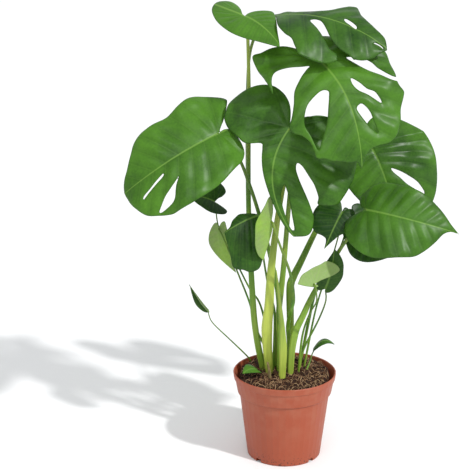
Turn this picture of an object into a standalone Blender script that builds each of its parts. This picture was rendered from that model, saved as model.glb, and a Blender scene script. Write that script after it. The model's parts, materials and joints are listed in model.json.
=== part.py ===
"""Potted monstera: a young split-leaf plant in a round plastic nursery pot.

Frame: metres, +Z up, +X to the plant's right, origin on the floor under the pot's axis.
The plant tables below are in millimetres, with heights measured from the soil surface,
so the whole plant follows the pot when the pot's size changes.
"""
import math

import bmesh
import bpy
from mathutils import Matrix, Vector

MM = 0.001

# ---- driving dimensions (metres) ----
POT_HEIGHT = 0.145          # floor to the top of the lip
RIM_RADIUS = 0.085          # outside of the lip
BASE_RADIUS = 0.061         # outside of the wall at the floor
BAND_HEIGHT = 0.035         # lip to the step under the rim band
BAND_STEP = 0.0035          # how far the wall sets in under the band
BAND_TAPER = 0.004          # how much the band narrows from the lip down to the step
LIP_HEIGHT = 0.012          # height of the thick lip at the top of the band
LIP_STEP = 0.003            # how far the lip stands out from the band
POT_WALL = 0.0014
POT_FLOOR = 0.0022
DRAIN_COUNT = 4
DRAIN_WIDTH = 0.010
DRAIN_HEIGHT = 0.006
SOIL_BELOW_LIP = 0.005      # lip down to the soil surface at the middle
SOIL_MOUND = 0.002          # how much higher the soil is in the middle than at its edge
LEAF_THICKNESS = 0.0008
STALK_GROWTH = 1.0          # one factor on every stalk's thickness
FOOT_DEPTH = 0.018          # how deep a stalk is planted
GAP = 0.0003                # between pieces that touch
JOINT_GAP = 0.0005          # between a stalk's top and the blade it carries

SOIL_LEVEL = POT_HEIGHT - SOIL_BELOW_LIP
SOCKET_SIDES = 12
GRID_LARGE = 28             # mm between cuts across a large blade
GRID_SMALL = 14

# ---- leaf blades (millimetres) ----
# base, middle and tip of the midrib; the way the upper face looks at the base and the tip;
# for the right and left half: angle at the midrib and droop per 100 mm, in degrees.
# Outlines run from the notch at the stalk round one half to the tip, as (along, across).
# Openings are closed outlines; across is negative on the left half.
LEAVES = [
    dict(name="leaf_high_left", base=(-67, 0, 586), mid=(-41, -22, 573), tip=(-17, -45, 550),
         face=(0.25, -0.7, 0.65), right=(-5, 10), left=(-5, 20),
         right_half=[(0, 0), (-8, -3), (-21, -13), (-38, -22), (-53, -25), (-62, -18), (-64, -5),
                     (-52, 15), (-21, 34), (8, 42), (38, 37), (59, 24), (84, 2)],
         left_half=[(0, 0), (-3, 10), (-2, 22), (4, 33), (12, 43), (19, 43), (33, 34), (59, 14),
                    (84, -2)]),
    dict(name="leaf_crown", base=(-28, 26, 582), mid=(59, -22, 584), tip=(146, -52, 543),
         face=(0.15, 0.3, 1), face_tip=(0.15, -0.45, 1), right=(-28, 15), left=(20, 25),
         right_half=[(0, 0), (5, 2), (13, 8), (19, 24), (28, 43), (44, 54), (60, 61), (77, 80), (90, 93),
                     (108, 87), (128, 79), (144, 73), (156, 62), (170, 50), (185, 39), (194, 26),
                     (198, 14), (203, 2)],
         left_half=[(0, 0), (-6, 10), (0, 22), (14, 28), (34, 24), (50, 20), (66, 24), (86, 28),
                    (102, 46), (112, 66), (119, 71), (127, 61), (138, 43), (152, 30), (169, 21),
                    (182, 17), (192, 12), (203, -2)],
         openings=[[(76, 15), (79, 9), (88, 8), (96, 12), (120, 33), (144, 43), (165, 47),
                    (180, 52), (160, 72), (147, 56), (129, 51), (108, 39), (89, 26)],
                   [(122, -14), (126, -16), (143, -9), (148, -3), (145, -1), (127, -7)],
                   [(182, 6), (184, 3), (193, 2), (198, 4), (196, 7), (187, 9)]]),
    dict(name="leaf_upper_split", base=(38, -45, 529), mid=(85, -95, 472), tip=(106, -120, 378),
         face=(0.05, -0.87, 0.45), right=(0, 20), left=(0, 20),
         right_half=[(0, 0), (-26, 5), (-46, 16), (-54, 32), (-54, 50), (-56, 64), (-35, 73),
                     (-12, 80), (9, 86), (30, 90), (9, 78), (-5, 62), (-2, 44), (7, 29),
                     (13, 18), (17, 25), (28, 43), (43, 61), (67, 75), (85, 86), (100, 96),
                     (110, 93), (120, 81), (133, 73), (147, 70), (159, 68), (164, 56),
                     (170, 46), (175, 33), (181, 18), (184, 7), (194, 1)],
         left_half=[(0, 0), (-30, 8), (-42, 28), (-40, 50), (-22, 74), (0, 92), (25, 100),
                    (54, 92), (75, 88), (91, 85), (99, 86), (110, 90), (118, 87), (135, 77),
                    (150, 72), (160, 66), (170, 59), (175, 46), (173, 28), (176, 12), (194, -1)],
         openings=[[(69, 20), (64, 30), (75, 54), (90, 67), (106, 73), (125, 69), (149, 64),
                    (138, 55), (128, 48), (112, 39), (94, 31), (80, 24)],
                   [(21, -37), (40, -43), (58, -54), (73, -65), (88, -78), (96, -100), (88, -96),
                    (80, -80), (57, -70), (42, -66), (30, -56)],
                   [(61, -21), (68, -18), (77, -18), (87, -22), (97, -31), (117, -48), (98, -44),
                    (88, -34), (73, -28)],
                   [(107, -15), (112, -8), (125, -11), (142, -19), (157, -31), (137, -28),
                    (123, -26), (110, -20)]]),
    dict(name="leaf_middle_split", base=(2, -40, 420), mid=(-25, -68, 345), tip=(9, -80, 258),
         face=(0.0, -0.93, 0.37), right=(0, 12), left=(0, 12),
         right_half=[(0, 0), (-33, 18), (-55, 34), (-76, 55), (-91, 77), (-98, 100), (-94, 118),
                     (-82, 129), (-65, 133), (-43, 126), (-29, 119), (-9, 100), (10, 75),
                     (24, 55), (26, 31), (34, 25), (53, 20), (80, 14), (105, 9), (129, 6),
                     (153, 5), (171, 4), (182, 1)],
         left_half=[(0, 0), (-14, 4), (-22, 12), (-21, 29), (-17, 64), (0, 91), (24, 113),
                    (52, 128), (71, 131), (94, 127), (110, 118), (125, 105), (136, 92),
                    (137, 75), (134, 62), (123, 66), (109, 65), (96, 61), (72, 47), (64, 37),
                    (74, 36), (92, 41), (110, 46), (127, 49), (141, 49), (154, 47), (167, 39),
                    (177, 29), (182, 17), (182, -1)],
         openings=[[(100, -18), (108, -13), (120, -9), (137, -7), (154, -5), (168, -3), (173, -5),
                    (166, -10), (141, -18), (121, -21), (107, -20)]]),
    dict(name="leaf_left", base=(-107, -30, 410), mid=(-181, -60, 374), tip=(-255, -50, 317),
         face=(-0.2, -0.85, 0.5), right=(5, 20), left=(5, 20),
         right_half=[(0, 0), (-9, 8), (-22, 19), (-41, 40), (-43, 48), (-32, 60), (-17, 69),
                     (1, 75), (20, 76), (48, 69), (64, 66), (91, 66), (112, 64), (129, 58),
                     (141, 47), (158, 28), (167, 20), (175, 11), (181, 1)],
         left_half=[(0, 0), (-12, -2), (-22, 4), (-25, 24), (-23, 43), (-16, 53), (-7, 59),
                    (7, 64), (24, 70), (37, 74), (57, 76), (95, 78), (127, 75), (140, 71),
                    (154, 63), (169, 51), (179, 26), (181, 9), (181, -1)],
         openings=[[(112, -12), (130, -16), (143, -20), (157, -24), (159, -28), (147, -24),
                    (132, -20), (115, -16)],
                   [(92, -29), (102, -34), (115, -39), (129, -44), (140, -51), (150, -58),
                    (148, -61), (137, -61), (125, -60), (117, -56), (109, -46), (103, -39)]]),
    dict(name="leaf_right_rear", base=(142, 90, 362), mid=(165, 75, 313), tip=(195, 70, 216),
         face=(0.1, -0.95, 0.3), right=(0, 12), left=(0, 12),
         right_half=[(0, 0), (-30, 4), (-60, 14), (-84, 34), (-94, 56), (-86, 76), (-62, 90),
                     (-30, 93), (10, 90), (45, 78), (70, 64), (90, 56), (120, 38), (162, 2)],
         left_half=[(0, 0), (-36, 12), (-52, 36), (-46, 62), (-31, 76), (-7, 90), (22, 95),
                    (51, 97), (87, 93), (117, 85), (135, 68), (150, 40), (162, -2)],
         openings=[[(66, -16), (74, -17), (87, -25), (102, -35), (122, -58), (105, -53),
                    (89, -40), (75, -27)]]),
    dict(name="leaf_right", base=(121, -35, 290), mid=(185, -65, 282), tip=(264, -60, 258),
         face=(0.05, -0.85, 0.5), right=(0, 14), left=(0, 14),
         right_half=[(0, 0), (-14, 10), (-27, 22), (-29, 36), (-22, 49), (-10, 60), (10, 69),
                     (33, 71), (60, 68), (88, 60), (104, 53), (117, 40), (127, 25), (136, 8),
                     (146, 1), (158, 1)],
         left_half=[(0, 0), (-10, 5), (-14, 18), (-4, 33), (7, 45), (24, 52), (50, 53), (86, 49),
                    (104, 43), (118, 34), (131, 23), (144, 10), (158, -1)]),
    dict(name="leaf_right_shade", base=(108, 40, 266), mid=(131, 22, 219), tip=(169, 16, 197),
         face=(0.1, -0.7, 0.7), right=(0, 15), left=(0, 15),
         right_half=[(0, 0), (-12, 8), (-13, 15), (-4, 24), (12, 28), (30, 31), (50, 35),
                     (73, 29), (90, 17), (102, 2)],
         left_half=[(0, 0), (-8, 5), (-4, 18), (6, 27), (24, 34), (48, 32), (74, 22), (102, -2)]),
    dict(name="leaf_small_left_fold", base=(-115, 66, 276), mid=(-134, 60, 285),
         tip=(-155, 52, 289), face=(-0.1, -0.8, 0.6), right=(15, 20), left=(15, 30),
         right_half=[(0, 0), (-5, 8), (-12, 15), (-17, 25), (-11, 32), (0, 35), (15, 33), (29, 27),
                     (39, 16), (44, 1)],
         left_half=[(0, 0), (-10, 1), (-20, 3), (-24, 6), (-21, 12), (-14, 17), (1, 23), (12, 24),
                    (22, 21), (36, 12), (44, -1)]),
    dict(name="leaf_small_left_pale", base=(-108, 45, 239), mid=(-103, 38, 201),
         tip=(-77, 28, 161), face=(0.3, 0.85, 0.1), right=(0, 30), left=(0, 30),
         right_half=[(0, 0), (-6, 4), (-6, 10), (4, 15), (24, 19), (50, 15), (84, 1)],
         left_half=[(0, 0), (-8, 5), (-9, 11), (2, 17), (24, 19), (50, 12), (84, -1)]),
    dict(name="leaf_small_left_dark", base=(-44, -36, 281), mid=(-70, -48, 273),
         tip=(-98, -52, 257), face=(-0.1, -0.75, 0.65), right=(0, 40), left=(-12, 34),
         right_half=[(0, 0), (6, 5), (17, 10), (29, 15), (38, 13), (45, 10), (53, 3), (63, 1)],
         left_half=[(0, 0), (-2, 9), (5, 33), (17, 55), (31, 67), (48, 77), (64, 75), (72, 65),
                    (80, 58), (82, 50), (76, 37), (71, 23), (66, 8), (63, -1)]),
    dict(name="leaf_small_curled", base=(-26, -66, 281), mid=(-33, -70, 250),
         tip=(-39, -68, 217), face=(-0.55, 0.8, 0.2), right=(0, 40), left=(0, 40),
         right_half=[(0, 0), (6, 5), (20, 6), (36, 5), (50, 3), (66, 1)],
         left_half=[(0, 0), (-12, 1), (-27, 6), (-37, 12), (-34, 18), (-23, 21), (-12, 26),
                    (-2, 31), (8, 33), (24, 29), (41, 23), (57, 12), (66, -1)]),
    dict(name="leaf_small_right_heart", base=(88, -12, 280), mid=(74, -24, 256),
         tip=(60, -30, 223), face=(0.0, -0.85, 0.5), right=(0, 25), left=(0, 25),
         right_half=[(0, 0), (-8, 5), (-14, 10), (-15, 17), (-8, 32), (0, 37), (13, 40), (25, 40),
                     (35, 37), (45, 32), (51, 24), (51, 12), (54, 4), (67, 1)],
         left_half=[(0, 0), (-10, 8), (-8, 18), (8, 24), (28, 22), (42, 12), (67, -1)]),
    dict(name="leaf_small_right_pale", base=(44, -51, 172), mid=(30, -56, 174),
         tip=(16, -58, 175), face=(-0.1, 0.88, -0.48), right=(0, 25), left=(0, 25),
         right_half=[(0, 0), (-5, 2), (-6, 4), (0, 5), (14, 4), (29, 1)],
         left_half=[(0, 0), (-11, 6), (-32, 14), (-44, 21), (-45, 26), (-39, 32), (-29, 36),
                    (-20, 37), (-11, 32), (1, 27), (11, 21), (22, 13), (29, -1)]),
    dict(name="leaf_small_right_round", base=(64, -4, 148), mid=(73, -10, 182),
         tip=(77, -6, 217), face=(0.0, -0.9, 0.4), right=(0, 25), left=(0, 25),
         right_half=[(0, 0), (-6, 2), (-6, 8), (2, 14), (26, 20), (40, 19), (51, 17), (62, 11),
                     (71, 1)],
         left_half=[(0, 0), (-5, 8), (1, 15), (17, 18), (29, 16), (42, 13), (53, 8), (71, -1)]),
    dict(name="leaf_sprout_left", base=(-126, 8, 108), mid=(-144, 2, 135), tip=(-163, -4, 165),
         face=(-0.55, -0.8, -0.3), right=(60, 50), left=(60, 50),
         right_half=[(0, 0), (-3, 4), (6, 10), (24, 12), (42, 6), (58, 1)],
         left_half=[(0, 0), (-3, 4), (6, 9), (24, 11), (42, 6), (58, -1)]),
    dict(name="leaf_sprout_right", base=(48, 18, 36), mid=(64, 14, 52), tip=(83, 12, 47),
         face=(-0.3, -0.2, 0.95), right=(-10, 30), left=(-10, 30),
         right_half=[(0, 0), (-2, 4), (8, 9), (22, 9), (34, 5), (44, 1)],
         left_half=[(0, 0), (-2, 4), (8, 9), (22, 9), (34, 5), (44, -1)]),
    dict(name="leaf_soil_seedling", base=(-46, -14, 12), mid=(-58, -22, 16), tip=(-70, -32, 11),
         face=(-0.1, -0.3, 0.95), right=(4, 20), left=(4, 20),
         right_half=[(0, 0), (-5, 5), (0, 12), (12, 14), (24, 7), (31, 1)],
         left_half=[(0, 0), (-5, 5), (0, 12), (12, 14), (24, 7), (31, -1)]),
]

# ---- stalks (millimetres) ----
# Each rises from its foot in the soil through its way points to the blade it carries.
# radii: at the foot, at the widest of the sheath, and at the top; swell is where the sheath
# is widest, as a share of the way up. Without a leaf it ends at its last way point.
STALKS = [
    dict(name="stalk_high_left", leaf="leaf_high_left", foot=(-36, 12), radii=(4.6, 5.2, 2.4),
         swell=0.2, way=[(-46, 6, 57), (-53, 8, 126), (-60, 18, 283), (-60, 30, 460),
                         (-62, 26, 545)]),
    dict(name="stalk_crown", leaf="leaf_crown", foot=(-35, 31), radii=(3.8, 4.4, 2.2),
         swell=0.2, way=[(-46, 34, 60), (-53, 39, 126), (-60, 46, 250), (-62, 50, 460),
                         (-54, 50, 540)]),
    dict(name="stalk_upper_split", leaf="leaf_upper_split", foot=(-12, 23), radii=(4.2, 5.0, 2.4),
         swell=0.25, way=[(-12, 22, 60), (-9, 21, 110), (-3, 18, 176), (3, 10, 269),
                          (10, 0, 360), (22, -12, 450),
                          (36, -28, 510)]),
    dict(name="stalk_middle_split", leaf="leaf_middle_split", foot=(-25, -4),
         radii=(6.0, 9.0, 2.3), swell=0.2,
         way=[(-29, -8, 50), (-30, -14, 88), (-27, -20, 126), (-24, -24, 190), (-14, -26, 279),
              (-2, -22, 349),
              (4, -26, 395)]),
    dict(name="stalk_left", leaf="leaf_left", foot=(-9, 2), radii=(4.2, 4.6, 2.1), swell=0.3,
         way=[(-9, 0, 70), (-12, -4, 140), (-31, -8, 229), (-45, -9, 279), (-58, -10, 320),
              (-76, -10, 366),
              (-100, -16, 398)]),
    dict(name="stalk_right_rear", leaf="leaf_right_rear", foot=(10, 24), radii=(5.2, 6.6, 2.2),
         swell=0.35, way=[(10, 26, 70), (9, 30, 138), (14, 34, 156), (27, 42, 181), (52, 62, 228),
                          (90, 84, 297), (132, 104, 345)]),
    dict(name="stalk_right", leaf="leaf_right", foot=(9, -12), radii=(4.8, 6.2, 1.8), swell=0.2,
         way=[(11, -11, 45), (17, -6, 76), (29, 2, 100), (48, 10, 139), (87, 2, 213),
              (102, -8, 240), (116, -18, 272)]),
    dict(name="stalk_right_shade", leaf="leaf_right_shade", foot=(27, 32), radii=(2.4, 2.6, 1.2),
         swell=0.3, way=[(55, 40, 142), (88, 46, 196), (100, 52, 228), (106, 54, 252)]),
    dict(name="stalk_small_left_fold", leaf="leaf_small_left_fold", foot=(-17, 32),
         radii=(2.0, 2.0, 1.0), swell=0.2,
         way=[(-38, 50, 97), (-56, 56, 126), (-72, 60, 157), (-90, 66, 193), (-109, 76, 230),
              (-114, 80, 258)]),
    dict(name="stalk_small_left_pale", leaf="leaf_small_left_pale", foot=(-10, 14),
         radii=(2.2, 2.2, 1.1), swell=0.2,
         way=[(-46, 22, 67), (-57, 24, 112), (-75, 22, 161), (-90, 26, 198), (-103, 34, 228)]),
    dict(name="stalk_small_left_dark", leaf="leaf_small_left_dark", foot=(-18, 9),
         radii=(2.2, 2.4, 1.2), swell=0.2,
         way=[(-17, 6, 100), (-26, 3, 140), (-36, -4, 200), (-42, -26, 262)]),
    dict(name="stalk_small_curled", leaf="leaf_small_curled", foot=(8, 6),
         radii=(3.4, 3.6, 1.6), swell=0.25,
         way=[(7, 6, 50), (5, 2, 84), (8, -22, 116), (12, -27, 140), (6, -42, 184),
              (-8, -62, 228), (-18, -74, 258)]),
    dict(name="stalk_small_right_heart", leaf="leaf_small_right_heart", foot=(33, 17),
         radii=(1.8, 1.8, 1.0), swell=0.2,
         way=[(52, 18, 110), (75, 18, 190), (87, 10, 243), (91, 4, 266)]),
    dict(name="stalk_small_right_pale", leaf="leaf_small_right_pale", foot=(23, -2),
         radii=(2.0, 2.0, 1.1), swell=0.2,
         way=[(28, -12, 71), (38, -36, 118), (46, -60, 144), (46, -67, 160)]),
    dict(name="stalk_small_right_round", leaf="leaf_small_right_round", foot=(25, 10),
         radii=(2.0, 2.0, 1.1), swell=0.2,
         way=[(31, 10, 37), (54, 6, 89), (66, 7, 122), (66, 7, 140)]),
    dict(name="stalk_sprout_left", leaf="leaf_sprout_left", foot=(-55, 50),
         radii=(1.3, 1.3, 0.8), swell=0.2,
         way=[(-66, 46, 17), (-92, 34, 48), (-118, 20, 80), (-125, 12, 98)]),
    dict(name="stalk_sprout_right", leaf="leaf_sprout_right", foot=(36, 4),
         radii=(1.6, 1.6, 0.8), swell=0.2, way=[(42, 12, 14), (47, 19, 28)]),
    dict(name="stalk_soil_seedling", leaf="leaf_soil_seedling", foot=(-42, -4),
         radii=(1.2, 1.2, 0.8), swell=0.2, way=[(-44, -9, 8)]),
    dict(name="sheath_centre", leaf=None, foot=(-5, -24), radii=(5.6, 6.6, 0.9), swell=0.3,
         way=[(-4, -26, 49), (-6, -30, 90), (-11, -36, 138), (-17, -43, 192)]),
    dict(name="stub_withered", leaf=None, foot=(-25, -24), radii=(2.6, 2.6, 1.6), swell=0.3,
         way=[(-26, -25, 14), (-29, -27, 30)]),
]

COLOURS = {"leaf": "2F6B2A", "leaf_pale": "8FA96A", "stalk": "6F8F2A", "sheath": "A9B75A",
           "pot": "B5603F", "soil": "3B2619", "dry": "9A8B5E"}
FINISHES = {"leaf": 0.38, "leaf_pale": 0.6, "stalk": 0.45, "sheath": 0.5, "pot": 0.5,
            "soil": 0.95, "dry": 0.85}
PALE_LEAVES = ("leaf_small_left_pale", "leaf_small_curled", "leaf_small_right_pale")
OBJECT_COLLECTION = "potted_monstera"
CUTTER_COLLECTION = "cutters"


# ---- helpers ----
def clear_scene():
    for thing in list(bpy.data.objects):
        bpy.data.objects.remove(thing, do_unlink=True)


def collection(name):
    found = bpy.data.collections.get(name) or bpy.data.collections.new(name)
    if name not in bpy.context.scene.collection.children:
        bpy.context.scene.collection.children.link(found)
    return found


def linear(channel):
    value = channel / 255
    return value / 12.92 if value <= 0.04045 else ((value + 0.055) / 1.055) ** 2.4


def material(slot):
    found = bpy.data.materials.get(slot)
    if found:
        return found
    made = bpy.data.materials.new(slot)
    made.use_nodes = True
    shader = made.node_tree.nodes["Principled BSDF"]
    code = COLOURS[slot]
    colour = [linear(int(code[i:i + 2], 16)) for i in (0, 2, 4)] + [1.0]
    shader.inputs["Base Color"].default_value = colour
    shader.inputs["Roughness"].default_value = FINISHES[slot]
    shader.inputs["Metallic"].default_value = 0.0
    return made


def add_object(name, data, slot=None, group=OBJECT_COLLECTION):
    thing = bpy.data.objects.new(name, data)
    collection(group).objects.link(thing)
    if slot:
        data.materials.clear()
        data.materials.append(material(slot))
    if group == CUTTER_COLLECTION:
        thing.hide_render = True
        thing.display_type = "WIRE"
    return thing


def evaluated_mesh(thing):
    depsgraph = bpy.context.evaluated_depsgraph_get()
    depsgraph.update()
    return bpy.data.meshes.new_from_object(thing.evaluated_get(depsgraph))


def discard(thing):
    bpy.data.objects.remove(thing, do_unlink=True)


def boolean(thing, cutter, operation):
    modifier = thing.modifiers.new(cutter.name, "BOOLEAN")
    modifier.operation = operation
    modifier.object = cutter
    modifier.solver = "EXACT"


def smooth(mesh, degrees):
    mesh.shade_smooth()
    mesh.set_sharp_from_angle(angle=math.radians(degrees))


def turned(name, profile, slot, steps=40):
    """A profile of (radius, height), down its outer side, turned about the Z axis."""
    mesh = bpy.data.meshes.new(name)
    points = [(radius, 0.0, height) for radius, height in profile]
    mesh.from_pydata(points, [(i, i + 1) for i in range(len(points) - 1)], [])
    thing = add_object(name, mesh, slot)
    screw = thing.modifiers.new("turn", "SCREW")
    screw.steps = screw.render_steps = steps
    screw.use_merge_vertices = True
    screw.merge_threshold = 0.00005
    screw.use_smooth_shade = True
    return thing


# ---- pot and soil ----
def wall_radius(height):
    """Outside of the plain wall, which tapers from the step down to the floor."""
    step_height = POT_HEIGHT - BAND_HEIGHT
    top = RIM_RADIUS - LIP_STEP - BAND_TAPER - BAND_STEP
    return BASE_RADIUS + (top - BASE_RADIUS) * height / step_height


def soil_radius(height):
    return wall_radius(height) - POT_WALL - GAP


def make_pot():
    step = POT_HEIGHT - BAND_HEIGHT
    under_lip = POT_HEIGHT - LIP_HEIGHT
    band_top = RIM_RADIUS - LIP_STEP
    band_foot = band_top - BAND_TAPER
    inside_top = soil_radius(step) + GAP
    edge = 0.0012
    profile = [
        (0.0, POT_FLOOR),
        (wall_radius(POT_FLOOR) - POT_WALL, POT_FLOOR),
        (inside_top, step),
        (band_foot - POT_WALL, step + edge),
        (band_top - POT_WALL, under_lip),
        (RIM_RADIUS - POT_WALL - edge, POT_HEIGHT - edge),
        (RIM_RADIUS - POT_WALL, POT_HEIGHT),
        (RIM_RADIUS - edge, POT_HEIGHT),
        (RIM_RADIUS, POT_HEIGHT - edge),
        (RIM_RADIUS - edge, under_lip + edge),
        (band_top, under_lip),
        (band_foot, step + edge),
        (band_foot - edge, step),
        (wall_radius(step - edge), step - edge),
        (wall_radius(edge), edge),
        (wall_radius(0.0) - edge, 0.0),
        (0.0, 0.0),
    ]
    pot = turned("pot", profile, "pot")
    cutter_mesh = bpy.data.meshes.new("drain_slots")
    cutter = bmesh.new()
    for number in range(DRAIN_COUNT):
        angle = math.radians(45) + 2 * math.pi * number / DRAIN_COUNT
        size = Matrix.Diagonal((4 * POT_WALL + 0.006, DRAIN_WIDTH, 2 * DRAIN_HEIGHT, 1.0))
        place = Matrix.Translation((BASE_RADIUS, 0.0, 0.0))
        bmesh.ops.create_cube(cutter, size=1.0, matrix=Matrix.Rotation(angle, 4, "Z") @ place @ size)
    cutter.to_mesh(cutter_mesh)
    cutter.free()
    boolean(pot, add_object("drain_slots", cutter_mesh, group=CUTTER_COLLECTION), "DIFFERENCE")


def make_soil():
    bottom = POT_FLOOR + GAP
    edge_level = SOIL_LEVEL - SOIL_MOUND
    step = POT_HEIGHT - BAND_HEIGHT
    band_inside = RIM_RADIUS - LIP_STEP - BAND_TAPER - POT_WALL - GAP
    shoulder = step + 0.0012 + GAP
    edge_radius = band_inside + BAND_TAPER * (edge_level - step) / (BAND_HEIGHT - LIP_HEIGHT)
    profile = [
        (0.0, SOIL_LEVEL),
        (0.35 * edge_radius, SOIL_LEVEL - 0.15 * SOIL_MOUND),
        (0.75 * edge_radius, SOIL_LEVEL - 0.6 * SOIL_MOUND),
        (edge_radius - 0.003, edge_level),
        (min(edge_radius, band_inside + BAND_TAPER) - GAP, edge_level - 0.003),
        (band_inside - GAP, shoulder + 0.001),
        (soil_radius(step) - GAP, shoulder),
        (soil_radius(bottom + 0.006), bottom + 0.006),
        (soil_radius(bottom) - 0.006, bottom),
        (0.0, bottom),
    ]
    soil = turned("soil", profile, "soil")
    cutter_mesh = bpy.data.meshes.new("sockets")
    cutter = bmesh.new()
    for stalk in STALKS:
        radius = stalk["radii"][0] * MM * STALK_GROWTH + GAP
        foot = Vector((*stalk["foot"], 0.0)) * MM
        depth = 2 * (FOOT_DEPTH + GAP)
        place = Matrix.Translation(foot + Vector((0, 0, SOIL_LEVEL)))
        bmesh.ops.create_cone(cutter, cap_ends=True, segments=SOCKET_SIDES, radius1=radius,
                              radius2=radius, depth=depth, matrix=place)
    cutter.to_mesh(cutter_mesh)
    cutter.free()
    boolean(soil, add_object("sockets", cutter_mesh, group=CUTTER_COLLECTION), "DIFFERENCE")


# ---- leaves ----
def above_soil(point):
    x, y, height = point
    return Vector((x * MM, y * MM, height * MM + SOIL_LEVEL))


def arc(distance, start, droop):
    """Sideways reach and rise after a distance along a line that starts at an angle and droops."""
    if abs(droop) < 1e-6:
        return distance * math.cos(start), distance * math.sin(start)
    end = start - droop * distance
    return (math.sin(start) - math.sin(end)) / droop, (math.cos(end) - math.cos(start)) / droop


class Blade:
    """The bent surface of one leaf, found from the distance along and across its midrib."""

    def __init__(self, leaf):
        self.base, middle, self.tip = (above_soil(leaf[key]) for key in ("base", "mid", "tip"))
        self.pull = 2 * middle - (self.base + self.tip) / 2
        chords = [self.midrib(step / 40) for step in range(41)]
        self.length = sum((b - a).length for a, b in zip(chords, chords[1:]))
        self.axis = (self.tip - self.base).normalized()
        self.face = Vector(leaf["face"]).normalized()
        self.face_tip = Vector(leaf.get("face_tip", leaf["face"])).normalized()
        self.sides = {True: leaf["right"], False: leaf["left"]}

    def midrib(self, share):
        return ((1 - share) ** 2 * self.base + 2 * share * (1 - share) * self.pull
                + share ** 2 * self.tip)

    def tangent(self, share):
        share = min(max(share, 0.0), 1.0)
        return (2 * (1 - share) * (self.pull - self.base)
                + 2 * share * (self.tip - self.pull)).normalized()

    def frame(self, share):
        """Across and outward directions of the upper face."""
        face = self.face.lerp(self.face_tip, min(max(share, -0.5), 1.0))
        across = self.axis.cross(face).normalized()
        return across, across.cross(self.tangent(share)).normalized()

    def place(self, along, across, height):
        share = along / self.length
        if share < 0:
            point = self.base + self.tangent(0) * along
        elif share > 1:
            point = self.tip + self.tangent(1) * (along - self.length)
        else:
            point = self.midrib(share)
        sideways, outward = self.frame(share)
        start, droop = self.sides[across >= 0]
        reach, rise = arc(abs(across), math.radians(start), math.radians(droop) / 0.1)
        return point + sideways * math.copysign(reach, across) + outward * (rise + height)


def flat_solid(name, outline, sharp, half_height, steps=2):
    """A closed outline in the plan (along, left) as a solid; sharp lists its corner points."""
    curve = bpy.data.curves.new(name, "CURVE")
    curve.dimensions = "2D"
    curve.fill_mode = "BOTH"
    curve.extrude = half_height
    curve.resolution_u = steps
    spline = curve.splines.new("BEZIER")
    spline.bezier_points.add(len(outline) - 1)
    spline.use_cyclic_u = True
    for number, (point, (along, across)) in enumerate(zip(spline.bezier_points, outline)):
        point.co = (along * MM, -across * MM, 0.0)
        kind = "VECTOR" if number in sharp else "AUTO"
        point.handle_left_type = point.handle_right_type = kind
    source = add_object(name + "_outline", curve, group=CUTTER_COLLECTION)
    mesh = evaluated_mesh(source)
    discard(source)
    shape = bmesh.new()
    shape.from_mesh(mesh)
    bmesh.ops.remove_doubles(shape, verts=shape.verts, dist=0.00001)
    bmesh.ops.recalc_face_normals(shape, faces=shape.faces)
    shape.to_mesh(mesh)
    shape.free()
    return add_object(name, mesh, group=CUTTER_COLLECTION)


def grid_slab(name, outline):
    """A thin slab over the outline's box, cut into a grid so that it can bend."""
    alongs = [point[0] for point in outline]
    acrosses = [-point[1] for point in outline]
    margin = 4
    size = Vector((max(alongs) - min(alongs) + margin, max(acrosses) - min(acrosses) + margin, 0))
    middle = Vector((max(alongs) + min(alongs), max(acrosses) + min(acrosses), 0)) / 2
    cell = GRID_LARGE if size.x > 110 else GRID_SMALL
    sheet = bmesh.new()
    stretch = Matrix.Diagonal((size.x * MM, size.y * MM, 1.0, 1.0))
    bmesh.ops.create_grid(sheet, x_segments=max(3, round(size.x / cell)),
                          y_segments=max(3, round(size.y / cell)), size=0.5,
                          matrix=Matrix.Translation(middle * MM) @ stretch)
    bmesh.ops.bisect_plane(sheet, geom=sheet.verts[:] + sheet.edges[:] + sheet.faces[:],
                           dist=0.0005, plane_co=(0, 0, 0), plane_no=(0, 1, 0))
    mesh = bpy.data.meshes.new(name)
    sheet.to_mesh(mesh)
    sheet.free()
    slab = add_object(name, mesh, group=CUTTER_COLLECTION)
    shell = slab.modifiers.new("thickness", "SOLIDIFY")
    shell.thickness = LEAF_THICKNESS
    shell.offset = 0.0
    return slab


def make_leaf(leaf):
    name = leaf["name"]
    right, left = leaf["right_half"], leaf["left_half"]
    outline = right + [(along, -across) for along, across in reversed(left[1:-1])]
    slab = grid_slab(name + "_slab", outline)
    cutters = [flat_solid(name + "_edge", outline, (0, len(right) - 1), 0.004)]
    boolean(slab, cutters[0], "INTERSECT")
    for number, opening in enumerate(leaf.get("openings", [])):
        cutters.append(flat_solid(f"{name}_opening_{number}", opening, (), 0.004))
        boolean(slab, cutters[-1], "DIFFERENCE")
    mesh = evaluated_mesh(slab)
    for thing in [slab] + cutters:
        discard(thing)
    blade = Blade(leaf)
    shape = bmesh.new()
    shape.from_mesh(mesh)
    bmesh.ops.remove_doubles(shape, verts=shape.verts, dist=0.00005)
    bmesh.ops.triangulate(shape, faces=shape.faces)
    for vertex in shape.verts:
        along, left_side, height = vertex.co
        vertex.co = blade.place(along, -left_side, height)
    shape.to_mesh(mesh)
    shape.free()
    mesh.name = name
    smooth(mesh, 40)
    add_object(name, mesh, "leaf_pale" if name in PALE_LEAVES else "leaf")
    return blade


# ---- stalks ----
def spline_through(points, steps=3):
    """Catmull-Rom points through the way points."""
    ends = [2 * points[0] - points[1]] + points + [2 * points[-1] - points[-2]]
    route = []
    for before, start, end, after in zip(ends, ends[1:], ends[2:], ends[3:]):
        for step in range(steps):
            t = step / steps
            route.append(0.5 * (2 * start + (end - before) * t
                                + (2 * before - 5 * start + 4 * end - after) * t ** 2
                                + (3 * start - before - 3 * end + after) * t ** 3))
    return route + [points[-1]]


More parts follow.
